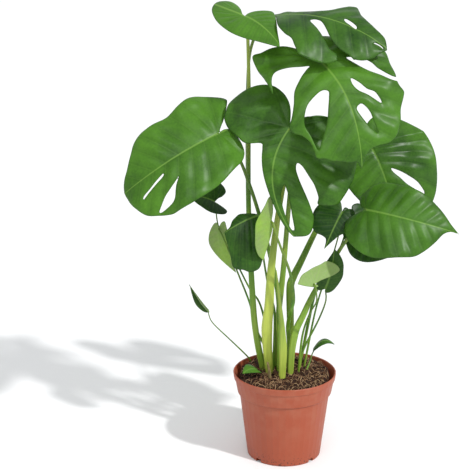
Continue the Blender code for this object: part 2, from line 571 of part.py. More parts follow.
def stalk_radius(share, stalk):
    foot, widest, top = (radius * MM * STALK_GROWTH for radius in stalk["radii"])
    swell = stalk["swell"]
    if share < swell:
        return foot + (widest - foot) * share / swell
    return widest + (top - widest) * ((share - swell) / (1 - swell)) ** 0.75


def make_stalk(stalk, blades):
    foot_x, foot_y = stalk["foot"]
    foot = above_soil((foot_x, foot_y, 0))
    points = [foot + Vector((0, 0, 0.003))] + [above_soil(point) for point in stalk["way"]]
    blade = blades.get(stalk["leaf"])
    if blade:
        top = stalk["radii"][2] * MM * STALK_GROWTH
        hang = max(0.0, -math.tan(math.radians(min(blade.sides[True][0], blade.sides[False][0]))))
        under = -(LEAF_THICKNESS / 2 + JOINT_GAP + hang * top)
        points.append(blade.place(top + 0.001, 0.0, under - 2.5 * top))
    route = [foot - Vector((0, 0, FOOT_DEPTH))] + spline_through(points)
    if blade:
        route.append(blade.place(top + 0.001, 0.0, under))
    reach = [0.0]
    for start, end in zip(route, route[1:]):
        reach.append(reach[-1] + (end - start).length)
    curve = bpy.data.curves.new(stalk["name"], "CURVE")
    curve.dimensions = "3D"
    curve.bevel_depth = MM
    curve.bevel_resolution = 2 if stalk["radii"][1] > 3 else 1
    curve.use_fill_caps = True
    spline = curve.splines.new("POLY")
    spline.points.add(len(route) - 1)
    for point, place, distance in zip(spline.points, route, reach):
        point.co = (*place, 1.0)
        share = max(0.0, (distance - FOOT_DEPTH) / (reach[-1] - FOOT_DEPTH))
        point.radius = stalk_radius(share, stalk) / MM
    slot = {"sheath_centre": "sheath", "stub_withered": "dry"}.get(stalk["name"], "stalk")
    add_object(stalk["name"], curve, slot)


def main():
    clear_scene()
    make_pot()
    make_soil()
    blades = {leaf["name"]: make_leaf(leaf) for leaf in LEAVES}
    for stalk in STALKS:
        make_stalk(stalk, blades)


main()
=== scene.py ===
"""Potted monstera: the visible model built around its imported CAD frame.

Frame: metres, +Z up, +X to the plant's right, origin on the floor under the pot's axis.
The leaf and stalk tables are in millimetres, with heights measured from the soil surface.
"""
import json
import math
import random

import bmesh
import bpy
import numpy as np
from bpy.props import FloatProperty, FloatVectorProperty, IntProperty, PointerProperty
from mathutils import Matrix, Vector, noise

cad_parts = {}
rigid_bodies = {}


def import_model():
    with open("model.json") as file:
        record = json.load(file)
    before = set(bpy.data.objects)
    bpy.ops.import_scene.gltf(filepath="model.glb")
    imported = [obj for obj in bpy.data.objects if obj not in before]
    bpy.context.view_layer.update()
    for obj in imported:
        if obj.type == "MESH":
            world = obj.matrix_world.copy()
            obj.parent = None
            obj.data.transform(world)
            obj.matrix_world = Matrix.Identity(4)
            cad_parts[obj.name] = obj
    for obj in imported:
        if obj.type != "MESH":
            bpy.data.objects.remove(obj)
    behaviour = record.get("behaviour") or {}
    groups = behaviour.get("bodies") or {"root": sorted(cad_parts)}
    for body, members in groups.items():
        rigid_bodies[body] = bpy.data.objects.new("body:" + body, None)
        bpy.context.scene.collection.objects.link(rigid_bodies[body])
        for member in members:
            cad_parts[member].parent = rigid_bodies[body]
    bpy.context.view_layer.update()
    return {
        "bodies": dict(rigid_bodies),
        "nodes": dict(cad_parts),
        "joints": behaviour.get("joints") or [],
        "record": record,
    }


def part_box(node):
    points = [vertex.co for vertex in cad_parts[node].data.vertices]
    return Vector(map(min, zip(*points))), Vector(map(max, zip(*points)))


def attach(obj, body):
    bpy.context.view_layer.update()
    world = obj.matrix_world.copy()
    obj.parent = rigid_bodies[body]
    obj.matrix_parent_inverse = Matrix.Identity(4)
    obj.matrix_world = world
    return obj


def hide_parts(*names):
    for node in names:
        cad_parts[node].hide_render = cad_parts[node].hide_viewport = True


bl_info = {
    "name": "Potted monstera",
    "version": (1, 0, 0),
    "blender": (4, 5, 0),
    "location": "3D View > Sidebar > Monstera",
    "description": "Builds a potted split-leaf plant around its packed frame",
    "category": "Add Mesh",
}

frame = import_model()

MM = 0.001
POT_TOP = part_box("pot")[1].z
SOIL_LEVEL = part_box("soil")[1].z
LEAF_THICKNESS = 0.0008
FOOT_DEPTH = 0.018          # how deep a stalk is planted
JOINT_GAP = 0.0005          # between a stalk's top and the blade it carries
THICK_STALK = 3             # widest radius, in millimetres, from which a stalk has a sheath
FLOOR_RADIUS = 40.0
TO_KEY = (0.84, -0.72, 1.0) # direction from the plant to the key light
KEY_ANGLE = 3               # degrees that the key light spans, for a soft edge to the shadow
SOFT_BOX = dict(place=(-0.5, -2.1, 2.3), aim=(0.0, 0.0, 0.5), size=(1.6, 1.1), power=16.0)
EYE = (-0.082, -1.9, 0.921)
LOOK_DOWN = 15.95           # degrees below level
LENS, SENSOR = 94.4, 36.0   # millimetres
SOIL_RADIUS = 0.0745        # inside the pot's wall at the soil surface
PALE_LEAVES = ("leaf_small_left_pale", "leaf_small_curled", "leaf_small_right_pale")

# ---- leaf blades (millimetres) ----
# base, middle and tip of the midrib; the way the upper face looks at the base and the tip;
# for the right and left half: angle at the midrib and droop per 100 mm, in degrees.
# Outlines run from the notch at the stalk round one half to the tip, as (along, across).
# Openings are closed outlines; across is negative on the left half.
LEAVES = [
    dict(name="leaf_high_left", base=(-67, 0, 586), mid=(-41, -22, 573), tip=(-17, -45, 550),
         face=(0.25, -0.7, 0.65), right=(-5, 10), left=(-5, 20),
         right_half=[(0, 0), (-8, -3), (-21, -13), (-38, -22), (-53, -25), (-62, -18), (-64, -5),
                     (-52, 15), (-21, 34), (8, 42), (38, 37), (59, 24), (84, 2)],
         left_half=[(0, 0), (-3, 10), (-2, 22), (4, 33), (12, 43), (19, 43), (33, 34), (59, 14),
                    (84, -2)]),
    dict(name="leaf_crown", base=(-28, 26, 582), mid=(59, -22, 584), tip=(146, -52, 543),
         face=(0.15, 0.3, 1), face_tip=(0.15, -0.45, 1), right=(-28, 15), left=(20, 25),
         right_half=[(0, 0), (5, 2), (13, 8), (19, 24), (28, 43), (44, 54), (60, 61), (77, 80),
                     (90, 93), (108, 87), (128, 79), (144, 73), (156, 62), (170, 50),
                     (185, 39), (194, 26), (198, 14), (203, 2)],
         left_half=[(0, 0), (-6, 10), (0, 22), (14, 28), (34, 24), (50, 20), (66, 24), (86, 28),
                    (102, 46), (112, 66), (119, 71), (127, 61), (138, 43), (152, 30), (169, 21),
                    (182, 17), (192, 12), (203, -2)],
         openings=[[(76, 15), (79, 9), (88, 8), (96, 12), (120, 33), (144, 43), (165, 47),
                    (180, 52), (160, 72), (147, 56), (129, 51), (108, 39), (89, 26)],
                   [(122, -14), (126, -16), (143, -9), (148, -3), (145, -1), (127, -7)],
                   [(182, 6), (184, 3), (193, 2), (198, 4), (196, 7), (187, 9)]]),
    dict(name="leaf_upper_split", base=(38, -45, 529), mid=(85, -95, 472), tip=(106, -120, 378),
         face=(0.05, -0.87, 0.45), right=(0, 20), left=(0, 20),
         right_half=[(0, 0), (-26, 5), (-46, 16), (-54, 32), (-54, 50), (-56, 64), (-35, 73),
                     (-12, 80), (9, 86), (30, 90), (9, 78), (-5, 62), (-2, 44), (7, 29),
                     (13, 18), (17, 25), (28, 43), (43, 61), (67, 75), (85, 86), (100, 96),
                     (110, 93), (120, 81), (133, 73), (147, 70), (159, 68), (164, 56),
                     (170, 46), (175, 33), (181, 18), (184, 7), (194, 1)],
         left_half=[(0, 0), (-30, 8), (-42, 28), (-40, 50), (-22, 74), (0, 92), (25, 100),
                    (54, 92), (75, 88), (91, 85), (99, 86), (110, 90), (118, 87), (135, 77),
                    (150, 72), (160, 66), (170, 59), (175, 46), (173, 28), (176, 12), (194, -1)],
         openings=[[(69, 20), (64, 30), (75, 54), (90, 67), (106, 73), (125, 69), (149, 64),
                    (138, 55), (128, 48), (112, 39), (94, 31), (80, 24)],
                   [(21, -37), (40, -43), (58, -54), (73, -65), (88, -78), (96, -100), (88, -96),
                    (80, -80), (57, -70), (42, -66), (30, -56)],
                   [(61, -21), (68, -18), (77, -18), (87, -22), (97, -31), (117, -48), (98, -44),
                    (88, -34), (73, -28)],
                   [(107, -15), (112, -8), (125, -11), (142, -19), (157, -31), (137, -28),
                    (123, -26), (110, -20)]]),
    dict(name="leaf_middle_split", base=(2, -40, 420), mid=(-25, -68, 345), tip=(9, -80, 258),
         face=(0.0, -0.93, 0.37), right=(0, 12), left=(0, 12),
         right_half=[(0, 0), (-33, 18), (-55, 34), (-76, 55), (-91, 77), (-98, 100), (-94, 118),
                     (-82, 129), (-65, 133), (-43, 126), (-29, 119), (-9, 100), (10, 75),
                     (24, 55), (26, 31), (34, 25), (53, 20), (80, 14), (105, 9), (129, 6),
                     (153, 5), (171, 4), (182, 1)],
         left_half=[(0, 0), (-14, 4), (-22, 12), (-21, 29), (-17, 64), (0, 91), (24, 113),
                    (52, 128), (71, 131), (94, 127), (110, 118), (125, 105), (136, 92),
                    (137, 75), (134, 62), (123, 66), (109, 65), (96, 61), (72, 47), (64, 37),
                    (74, 36), (92, 41), (110, 46), (127, 49), (141, 49), (154, 47), (167, 39),
                    (177, 29), (182, 17), (182, -1)],
         openings=[[(100, -18), (108, -13), (120, -9), (137, -7), (154, -5), (168, -3), (173, -5),
                    (166, -10), (141, -18), (121, -21), (107, -20)]]),
    dict(name="leaf_left", base=(-107, -30, 410), mid=(-181, -60, 374), tip=(-255, -50, 317),
         face=(-0.2, -0.85, 0.5), right=(5, 20), left=(5, 20),
         right_half=[(0, 0), (-9, 8), (-22, 19), (-41, 40), (-43, 48), (-32, 60), (-17, 69),
                     (1, 75), (20, 76), (48, 69), (64, 66), (91, 66), (112, 64), (129, 58),
                     (141, 47), (158, 28), (167, 20), (175, 11), (181, 1)],
         left_half=[(0, 0), (-12, -2), (-22, 4), (-25, 24), (-23, 43), (-16, 53), (-7, 59),
                    (7, 64), (24, 70), (37, 74), (57, 76), (95, 78), (127, 75), (140, 71),
                    (154, 63), (169, 51), (179, 26), (181, 9), (181, -1)],
         openings=[[(112, -12), (130, -16), (143, -20), (157, -24), (159, -28), (147, -24),
                    (132, -20), (115, -16)],
                   [(92, -29), (102, -34), (115, -39), (129, -44), (140, -51), (150, -58),
                    (148, -61), (137, -61), (125, -60), (117, -56), (109, -46), (103, -39)]]),
    dict(name="leaf_right_rear", base=(142, 90, 362), mid=(165, 75, 313), tip=(195, 70, 216),
         face=(0.1, -0.95, 0.3), right=(0, 12), left=(0, 12),
         right_half=[(0, 0), (-30, 4), (-60, 14), (-84, 34), (-94, 56), (-86, 76), (-62, 90),
                     (-30, 93), (10, 90), (45, 78), (70, 64), (90, 56), (120, 38), (162, 2)],
         left_half=[(0, 0), (-36, 12), (-52, 36), (-46, 62), (-31, 76), (-7, 90), (22, 95),
                    (51, 97), (87, 93), (117, 85), (135, 68), (150, 40), (162, -2)],
         openings=[[(66, -16), (74, -17), (87, -25), (102, -35), (122, -58), (105, -53),
                    (89, -40), (75, -27)]]),
    dict(name="leaf_right", base=(121, -35, 290), mid=(185, -65, 282), tip=(264, -60, 258),
         face=(0.05, -0.85, 0.5), right=(0, 14), left=(0, 14),
         right_half=[(0, 0), (-14, 10), (-27, 22), (-29, 36), (-22, 49), (-10, 60), (10, 69),
                     (33, 71), (60, 68), (88, 60), (104, 53), (117, 40), (127, 25), (136, 8),
                     (146, 1), (158, 1)],
         left_half=[(0, 0), (-10, 5), (-14, 18), (-4, 33), (7, 45), (24, 52), (50, 53), (86, 49),
                    (104, 43), (118, 34), (131, 23), (144, 10), (158, -1)]),
    dict(name="leaf_right_shade", base=(108, 40, 266), mid=(131, 22, 219), tip=(169, 16, 197),
         face=(0.1, -0.7, 0.7), right=(0, 15), left=(0, 15),
         right_half=[(0, 0), (-12, 8), (-13, 15), (-4, 24), (12, 28), (30, 31), (50, 35),
                     (73, 29), (90, 17), (102, 2)],
         left_half=[(0, 0), (-8, 5), (-4, 18), (6, 27), (24, 34), (48, 32), (74, 22), (102, -2)]),
    dict(name="leaf_small_left_fold", base=(-115, 66, 276), mid=(-134, 60, 285),
         tip=(-155, 52, 289), face=(-0.1, -0.8, 0.6), right=(15, 20), left=(15, 30),
         right_half=[(0, 0), (-5, 8), (-12, 15), (-17, 25), (-11, 32), (0, 35), (15, 33), (29, 27),
                     (39, 16), (44, 1)],
         left_half=[(0, 0), (-10, 1), (-20, 3), (-24, 6), (-21, 12), (-14, 17), (1, 23), (12, 24),
                    (22, 21), (36, 12), (44, -1)]),
    dict(name="leaf_small_left_pale", base=(-108, 45, 239), mid=(-103, 38, 201),
         tip=(-77, 28, 161), face=(0.3, 0.85, 0.1), right=(0, 30), left=(0, 30),
         right_half=[(0, 0), (-6, 4), (-6, 10), (4, 15), (24, 19), (50, 15), (84, 1)],
         left_half=[(0, 0), (-8, 5), (-9, 11), (2, 17), (24, 19), (50, 12), (84, -1)]),
    dict(name="leaf_small_left_dark", base=(-44, -36, 281), mid=(-70, -48, 273),
         tip=(-98, -52, 257), face=(-0.1, -0.75, 0.65), right=(0, 40), left=(-12, 34),
         right_half=[(0, 0), (6, 5), (17, 10), (29, 15), (38, 13), (45, 10), (53, 3), (63, 1)],
         left_half=[(0, 0), (-2, 9), (5, 33), (17, 55), (31, 67), (48, 77), (64, 75), (72, 65),
                    (80, 58), (82, 50), (76, 37), (71, 23), (66, 8), (63, -1)]),
    dict(name="leaf_small_curled", base=(-26, -66, 281), mid=(-33, -70, 250),
         tip=(-39, -68, 217), face=(-0.55, 0.8, 0.2), right=(0, 40), left=(0, 40),
         right_half=[(0, 0), (6, 5), (20, 6), (36, 5), (50, 3), (66, 1)],
         left_half=[(0, 0), (-12, 1), (-27, 6), (-37, 12), (-34, 18), (-23, 21), (-12, 26),
                    (-2, 31), (8, 33), (24, 29), (41, 23), (57, 12), (66, -1)]),
    dict(name="leaf_small_right_heart", base=(88, -12, 280), mid=(74, -24, 256),
         tip=(60, -30, 223), face=(0.0, -0.85, 0.5), right=(0, 25), left=(0, 25),
         right_half=[(0, 0), (-8, 5), (-14, 10), (-15, 17), (-8, 32), (0, 37), (13, 40), (25, 40),
                     (35, 37), (45, 32), (51, 24), (51, 12), (54, 4), (67, 1)],
         left_half=[(0, 0), (-10, 8), (-8, 18), (8, 24), (28, 22), (42, 12), (67, -1)]),
    dict(name="leaf_small_right_pale", base=(44, -51, 172), mid=(30, -56, 174),
         tip=(16, -58, 175), face=(-0.1, 0.88, -0.48), right=(0, 25), left=(0, 25),
         right_half=[(0, 0), (-5, 2), (-6, 4), (0, 5), (14, 4), (29, 1)],
         left_half=[(0, 0), (-11, 6), (-32, 14), (-44, 21), (-45, 26), (-39, 32), (-29, 36),
                    (-20, 37), (-11, 32), (1, 27), (11, 21), (22, 13), (29, -1)]),
    dict(name="leaf_small_right_round", base=(64, -4, 148), mid=(73, -10, 182),
         tip=(77, -6, 217), face=(0.0, -0.9, 0.4), right=(0, 25), left=(0, 25),
         right_half=[(0, 0), (-6, 2), (-6, 8), (2, 14), (26, 20), (40, 19), (51, 17), (62, 11),
                     (71, 1)],
         left_half=[(0, 0), (-5, 8), (1, 15), (17, 18), (29, 16), (42, 13), (53, 8), (71, -1)]),
    dict(name="leaf_sprout_left", base=(-126, 8, 108), mid=(-144, 2, 135), tip=(-163, -4, 165),
         face=(-0.55, -0.8, -0.3), right=(60, 50), left=(60, 50),
         right_half=[(0, 0), (-3, 4), (6, 10), (24, 12), (42, 6), (58, 1)],
         left_half=[(0, 0), (-3, 4), (6, 9), (24, 11), (42, 6), (58, -1)]),
    dict(name="leaf_sprout_right", base=(48, 18, 36), mid=(64, 14, 52), tip=(83, 12, 47),
         face=(-0.3, -0.2, 0.95), right=(-10, 30), left=(-10, 30),
         right_half=[(0, 0), (-2, 4), (8, 9), (22, 9), (34, 5), (44, 1)],
         left_half=[(0, 0), (-2, 4), (8, 9), (22, 9), (34, 5), (44, -1)]),
    dict(name="leaf_soil_seedling", base=(-46, -14, 12), mid=(-58, -22, 16), tip=(-70, -32, 11),
         face=(-0.1, -0.3, 0.95), right=(4, 20), left=(4, 20),
         right_half=[(0, 0), (-5, 5), (0, 12), (12, 14), (24, 7), (31, 1)],
         left_half=[(0, 0), (-5, 5), (0, 12), (12, 14), (24, 7), (31, -1)]),
]

# ---- stalks (millimetres) ----
# Each rises from its foot in the soil through its way points to the blade it carries.
# radii: at the foot, at the widest of the sheath, and at the top; swell is where the sheath
# is widest, as a share of the way up. Without a leaf it ends at its last way point.
STALKS = [
    dict(name="stalk_high_left", leaf="leaf_high_left", foot=(-36, 12), radii=(4.6, 5.2, 2.4),
         swell=0.2, way=[(-46, 6, 57), (-53, 8, 126), (-60, 18, 283), (-60, 30, 460),
                         (-62, 26, 545)]),
    dict(name="stalk_crown", leaf="leaf_crown", foot=(-35, 31), radii=(3.8, 4.4, 2.2),
         swell=0.2, way=[(-46, 34, 60), (-53, 39, 126), (-60, 46, 250), (-62, 50, 460),
                         (-54, 50, 540)]),
    dict(name="stalk_upper_split", leaf="leaf_upper_split", foot=(-12, 23), radii=(4.2, 5.0, 2.4),
         swell=0.25, way=[(-12, 22, 60), (-9, 21, 110), (-3, 18, 176), (3, 10, 269),
                          (10, 0, 360), (22, -12, 450),
                          (36, -28, 510)]),
    dict(name="stalk_middle_split", leaf="leaf_middle_split", foot=(-25, -4),
         radii=(6.0, 9.0, 2.3), swell=0.2,
         way=[(-29, -8, 50), (-30, -14, 88), (-27, -20, 126), (-24, -24, 190), (-14, -26, 279),
              (-2, -22, 349),
              (4, -26, 395)]),
    dict(name="stalk_left", leaf="leaf_left", foot=(-9, 2), radii=(4.2, 4.6, 2.1), swell=0.3,
         way=[(-9, 0, 70), (-12, -4, 140), (-31, -8, 229), (-45, -9, 279), (-58, -10, 320),
              (-76, -10, 366),
              (-100, -16, 398)]),
    dict(name="stalk_right_rear", leaf="leaf_right_rear", foot=(10, 24), radii=(5.2, 6.6, 2.2),
         swell=0.35, way=[(10, 26, 70), (9, 30, 138), (14, 34, 156), (27, 42, 181), (52, 62, 228),
                          (90, 84, 297), (132, 104, 345)]),
    dict(name="stalk_right", leaf="leaf_right", foot=(9, -12), radii=(4.8, 6.2, 1.8), swell=0.2,
         way=[(11, -11, 45), (17, -6, 76), (29, 2, 100), (48, 10, 139), (87, 2, 213),
              (102, -8, 240), (116, -18, 272)]),
    dict(name="stalk_right_shade", leaf="leaf_right_shade", foot=(27, 32), radii=(2.4, 2.6, 1.2),
         swell=0.3, way=[(55, 40, 142), (88, 46, 196), (100, 52, 228), (106, 54, 252)]),
    dict(name="stalk_small_left_fold", leaf="leaf_small_left_fold", foot=(-17, 32),
         radii=(2.0, 2.0, 1.0), swell=0.2,
         way=[(-38, 50, 97), (-56, 56, 126), (-72, 60, 157), (-90, 66, 193), (-109, 76, 230),
              (-114, 80, 258)]),
    dict(name="stalk_small_left_pale", leaf="leaf_small_left_pale", foot=(-10, 14),
         radii=(2.2, 2.2, 1.1), swell=0.2,
         way=[(-46, 22, 67), (-57, 24, 112), (-75, 22, 161), (-90, 26, 198), (-103, 34, 228)]),
    dict(name="stalk_small_left_dark", leaf="leaf_small_left_dark", foot=(-18, 9),
         radii=(2.2, 2.4, 1.2), swell=0.2,
         way=[(-17, 6, 100), (-26, 3, 140), (-36, -4, 200), (-42, -26, 262)]),
    dict(name="stalk_small_curled", leaf="leaf_small_curled", foot=(8, 6),
         radii=(3.4, 3.6, 1.6), swell=0.25,
         way=[(7, 6, 50), (5, 2, 84), (8, -22, 116), (12, -27, 140), (6, -42, 184),
              (-8, -62, 228), (-18, -74, 258)]),
    dict(name="stalk_small_right_heart", leaf="leaf_small_right_heart", foot=(33, 17),
         radii=(1.8, 1.8, 1.0), swell=0.2,
         way=[(52, 18, 110), (75, 18, 190), (87, 10, 243), (91, 4, 266)]),
    dict(name="stalk_small_right_pale", leaf="leaf_small_right_pale", foot=(23, -2),
         radii=(2.0, 2.0, 1.1), swell=0.2,
         way=[(28, -12, 71), (38, -36, 118), (46, -60, 144), (46, -67, 160)]),
    dict(name="stalk_small_right_round", leaf="leaf_small_right_round", foot=(25, 10),
         radii=(2.0, 2.0, 1.1), swell=0.2,
         way=[(31, 10, 37), (54, 6, 89), (66, 7, 122), (66, 7, 140)]),
    dict(name="stalk_sprout_left", leaf="leaf_sprout_left", foot=(-55, 50),
         radii=(1.3, 1.3, 0.8), swell=0.2,
         way=[(-66, 46, 17), (-92, 34, 48), (-118, 20, 80), (-125, 12, 98)]),
    dict(name="stalk_sprout_right", leaf="leaf_sprout_right", foot=(36, 4),
         radii=(1.6, 1.6, 0.8), swell=0.2, way=[(42, 12, 14), (47, 19, 28)]),
    dict(name="stalk_soil_seedling", leaf="leaf_soil_seedling", foot=(-42, -4),
         radii=(1.2, 1.2, 0.8), swell=0.2, way=[(-44, -9, 8)]),
    dict(name="sheath_centre", leaf=None, foot=(-5, -24), radii=(5.6, 6.6, 0.9), swell=0.3,
         way=[(-4, -26, 49), (-6, -30, 90), (-11, -36, 138), (-17, -43, 192)]),
    dict(name="stub_withered", leaf=None, foot=(-25, -24), radii=(2.6, 2.6, 1.6), swell=0.3,
         way=[(-26, -25, 14), (-29, -27, 30)]),
]

# How light each blade's green is, from 0 to 1: partly its own colour, old and dark to young and
# bright, and partly painted shade and light, low for blades in shadow and high for lit ones.
TONES = {
    "leaf_high_left": 0.50, "leaf_crown": 0.22, "leaf_upper_split": 0.42, "leaf_middle_split": 0.28,
    "leaf_left": 0.42, "leaf_right_rear": 0.34, "leaf_right": 0.36, "leaf_right_shade": 0.10,
    "leaf_small_left_fold": 0.12, "leaf_small_left_pale": 0.62, "leaf_small_left_dark": 0.14,
    "leaf_small_curled": 0.66, "leaf_small_right_heart": 0.16, "leaf_small_right_pale": 0.45,
    "leaf_small_right_round": 0.12, "leaf_sprout_left": 0.25, "leaf_sprout_right": 0.25,
    "leaf_soil_seedling": 0.45,
}
# How pale each stalk's skin is at its foot, a third of the way up, and at its top.
PALENESS = {
    "stalk_high_left": (0.45, 0.12, 0.75), "stalk_crown": (0.4, 0.1, 0.3),
    "stalk_upper_split": (0.6, 0.35, 0.2), "stalk_middle_split": (0.75, 1.0, 0.3),
    "stalk_right_rear": (0.4, 0.22, 0.1), "stalk_right": (0.55, 0.3, 0.2),
    "stalk_left": (0.3, 0.12, 0.1), "stalk_small_curled": (0.4, 0.12, 0.3),
    "sheath_centre": (0.9, 0.75, 0.5),
}
OTHER_PALENESS = (0.35, 0.15, 0.2)


def linear(code):
    """A colour's sRGB hex code as the linear values that shaders use."""
    channels = [int(code[i:i + 2], 16) / 255 for i in (0, 2, 4)]
    return tuple(c / 12.92 if c <= 0.04045 else ((c + 0.055) / 1.055) ** 2.4 for c in channels)


def colour(name, description, code):
    return FloatVectorProperty(name=name, description=description, subtype="COLOR", size=3,
                               min=0.0, max=1.0, default=linear(code))


def length(name, description, metres):
    return FloatProperty(name=name, description=description, subtype="DISTANCE", unit="LENGTH",
                         min=0.0, default=metres)


class MonsteraLeaves(bpy.types.PropertyGroup):
    cell: length("Cell", "Size of the faces that a blade is made of", 0.002)
    wave: length("Wave", "How far a blade's margin swings up and down", 0.0030)
    quilt: length("Quilting", "How far a blade domes between its side veins", 0.0019)
    groove: length("Midrib groove", "How deep the midrib lies in the upper face", 0.0009)
    # Dark and light green are the ends of the blade tone, which partly paints shade and light on
    # each blade.
    dark: colour("Dark green", "Upper face of an old, shaded leaf", "143806")
    light: colour("Light green", "Upper face of a young, lit leaf", "5A9122")
    vein: colour("Veins", "Midrib and side veins on the upper face", "7FA648")
    under: colour("Underside", "Lower face of a blade", "7E9455")
    under_light: colour("Young underside", "Lower face of a young blade", "86A93A")


class MonsteraStalks(bpy.types.PropertyGroup):
    sides: IntProperty(name="Sides", description="Faces round a stalk", default=18, min=8, max=48)
    ring: length("Ring spacing", "Distance between the rings along a stalk", 0.006)
    green: colour("Stalk", "Skin of a stalk in its upper part", "50821A")
    pale: colour("Sheath", "Skin of a stalk in its sheathed lower part", "B0BE4E")
    dry: colour("Withered", "Skin of a withered stalk", "9A8B5E")


class MonsteraSoil(bpy.types.PropertyGroup):
    relief: length("Relief", "How high the clumps of potting mix rise", 0.006)
    fibres: IntProperty(name="Fibres", description="Number of coir fibres", default=520, min=0)
    crumbs: IntProperty(name="Crumbs", description="Number of loose crumbs", default=420, min=0)
    peat: colour("Peat", "Damp peat between the fibres", "26130A")
    bark: colour("Coir", "Dry coir and bark", "744A2D")


class MonsteraPot(bpy.types.PropertyGroup):
    plastic: colour("Plastic", "Moulded pot plastic", "9B4527")
    dust: colour("Dust", "Dried splashes and dust on the plastic", "AD7A62")
    dirt: colour("Dirt", "Damp potting mix caught along the foot", "3A2418")


class MonsteraStage(bpy.types.PropertyGroup):
    floor: colour("Floor", "Plain studio floor", "F4F4F4")
    key: FloatProperty(name="Key", description="Strength of the key light", default=2.3, min=0.0)
    fill: FloatProperty(name="Fill", description="Strength of the even fill light", default=0.72,
                        min=0.0)


# ---- materials ----
def add(tree, kind, inputs=None, **settings):
    """One shader node, its settings, and its inputs as values or as links from other nodes."""
    made = tree.nodes.new("ShaderNode" + kind)
    for key, value in settings.items():
        setattr(made, key, value)
    for key, value in (inputs or {}).items():
        if isinstance(value, bpy.types.NodeSocket):
            tree.links.new(value, made.inputs[key])
        else:
            made.inputs[key].default_value = value
    return made


def new_material(name, **constants):
    made = bpy.data.materials.new(name)
    made.use_nodes = True
    shader = made.node_tree.nodes["Principled BSDF"]
    for key, value in constants.items():
        shader.inputs[key.replace("_", " ")].default_value = value
    return made, made.node_tree, shader


def mixed(tree, factor, first, second):
    """A colour between two colours."""
    ends = {key: (*value, 1.0) if isinstance(value, tuple) and len(value) == 3 else value
            for key, value in ((6, first), (7, second))}
    return add(tree, "Mix", {0: factor, **ends}, data_type="RGBA").outputs[2]


def maths(tree, operation, *values, clamp=False):
    return add(tree, "Math", dict(enumerate(values)), operation=operation,
               use_clamp=clamp).outputs[0]


def ramp(tree, value, low, high, start=0.0, end=1.0, shape="SMOOTHSTEP"):
    """A value taken from one range to another, and held at its ends."""
    return add(tree, "MapRange", {0: value, 1: low, 2: high, 3: start, 4: end},
               interpolation_type=shape).outputs[0]


def attribute(tree, name):
    return add(tree, "Attribute", attribute_name=name).outputs["Fac"]


def grain(tree, size, detail=3.0, stretch=(1.0, 1.0, 1.0), roughness=0.5):
    """Noise with features of a size in metres, in object coordinates."""
    place = add(tree, "Mapping", {"Vector": add(tree, "TexCoord").outputs["Object"],
                                  "Scale": tuple(s / size for s in stretch)}).outputs[0]
    return add(tree, "TexNoise", {"Vector": place, "Scale": 1.0, "Detail": detail,
                                  "Roughness": roughness}).outputs["Fac"]


def bumped(tree, shader, height, distance, strength=1.0):
    bump = add(tree, "Bump", {"Height": height, "Distance": distance, "Strength": strength})
    tree.links.new(bump.outputs[0], shader.inputs["Normal"])


def vein_masks(tree):
    """How much of a point is midrib, and how much side vein."""
    plan = add(tree, "SeparateXYZ", {0: add(tree, "UVMap", uv_map="plan").outputs[0]})
    across = maths(tree, "ABSOLUTE", plan.outputs[1])
    share = attribute(tree, "share")
    half_width = ramp(tree, share, 0.0, 1.0, 0.0016, 0.0005, "LINEAR")
    middle = maths(tree, "SUBTRACT", 1.0,
                   ramp(tree, maths(tree, "DIVIDE", across, half_width), 0.5, 1.7))
    phase = maths(tree, "ADD", attribute(tree, "vein"), 40.5)
    aside = maths(tree, "ABSOLUTE", maths(tree, "SUBTRACT", maths(tree, "FRACT", phase), 0.5))
    distance = maths(tree, "MULTIPLY", aside, attribute(tree, "gap"))
    side_width = ramp(tree, across, 0.0, 0.09, 0.0010, 0.0004, "LINEAR")
    side = maths(tree, "SUBTRACT", 1.0,
                 ramp(tree, maths(tree, "DIVIDE", distance, side_width), 0.3, 2.0))
    return middle, side, distance


def living_leaf(settings):
    """Living leaf, upper face: green tissue under a clear wax cuticle. The wax gives a soft, wide
    sheen over a deep green that is uneven from panel to panel, and the veins show paler. Painted
    shade darkens the creases along the side veins."""
    made, tree, shader = new_material("living_leaf_upper", Metallic=0.0, IOR=1.4, Coat_Weight=0.12,
                                      Coat_Roughness=0.3, Coat_IOR=1.35, Specular_IOR_Level=0.3)
    middle, side, distance = vein_masks(tree)
    # tone: the blade's own lightness together with its painted shade and light
    tone = attribute(tree, "tone")
    patches = grain(tree, 0.055, 3.0)               # broad patches of lighter tissue
    mottle = grain(tree, 0.0035, 4.0)               # fine mottle between the smallest veins
    light = maths(tree, "ADD", tone, ramp(tree, patches, 0.3, 0.7, -0.17, 0.17, "LINEAR"))
    light = maths(tree, "ADD", light, ramp(tree, mottle, 0.3, 0.7, -0.06, 0.06, "LINEAR"))
    # painted shade: darker in the creases along the side veins, a little lighter on the domed
    # panels between them
    crease_shade = ramp(tree, distance, 0.0008, 0.008, -0.05, 0.03)
    light = maths(tree, "ADD", light, crease_shade, clamp=True)
    green = mixed(tree, light, tuple(settings.dark), tuple(settings.light))
    veined = mixed(tree, maths(tree, "MULTIPLY", side, 0.06), green, tuple(settings.vein))
    veined = mixed(tree, maths(tree, "MULTIPLY", middle, 0.42), veined, tuple(settings.vein))
    rim = maths(tree, "SUBTRACT", 1.0, ramp(tree, attribute(tree, "rim"), 0.0002, 0.0011))
    tree.links.new(mixed(tree, maths(tree, "MULTIPLY", rim, 0.3), veined, tuple(settings.dark)),
                   shader.inputs["Base Color"])
    tree.links.new(ramp(tree, patches, 0.25, 0.75, 0.36, 0.5, "LINEAR"), shader.inputs["Roughness"])
    bumped(tree, shader, mottle, 0.0003, 0.35)
    return made


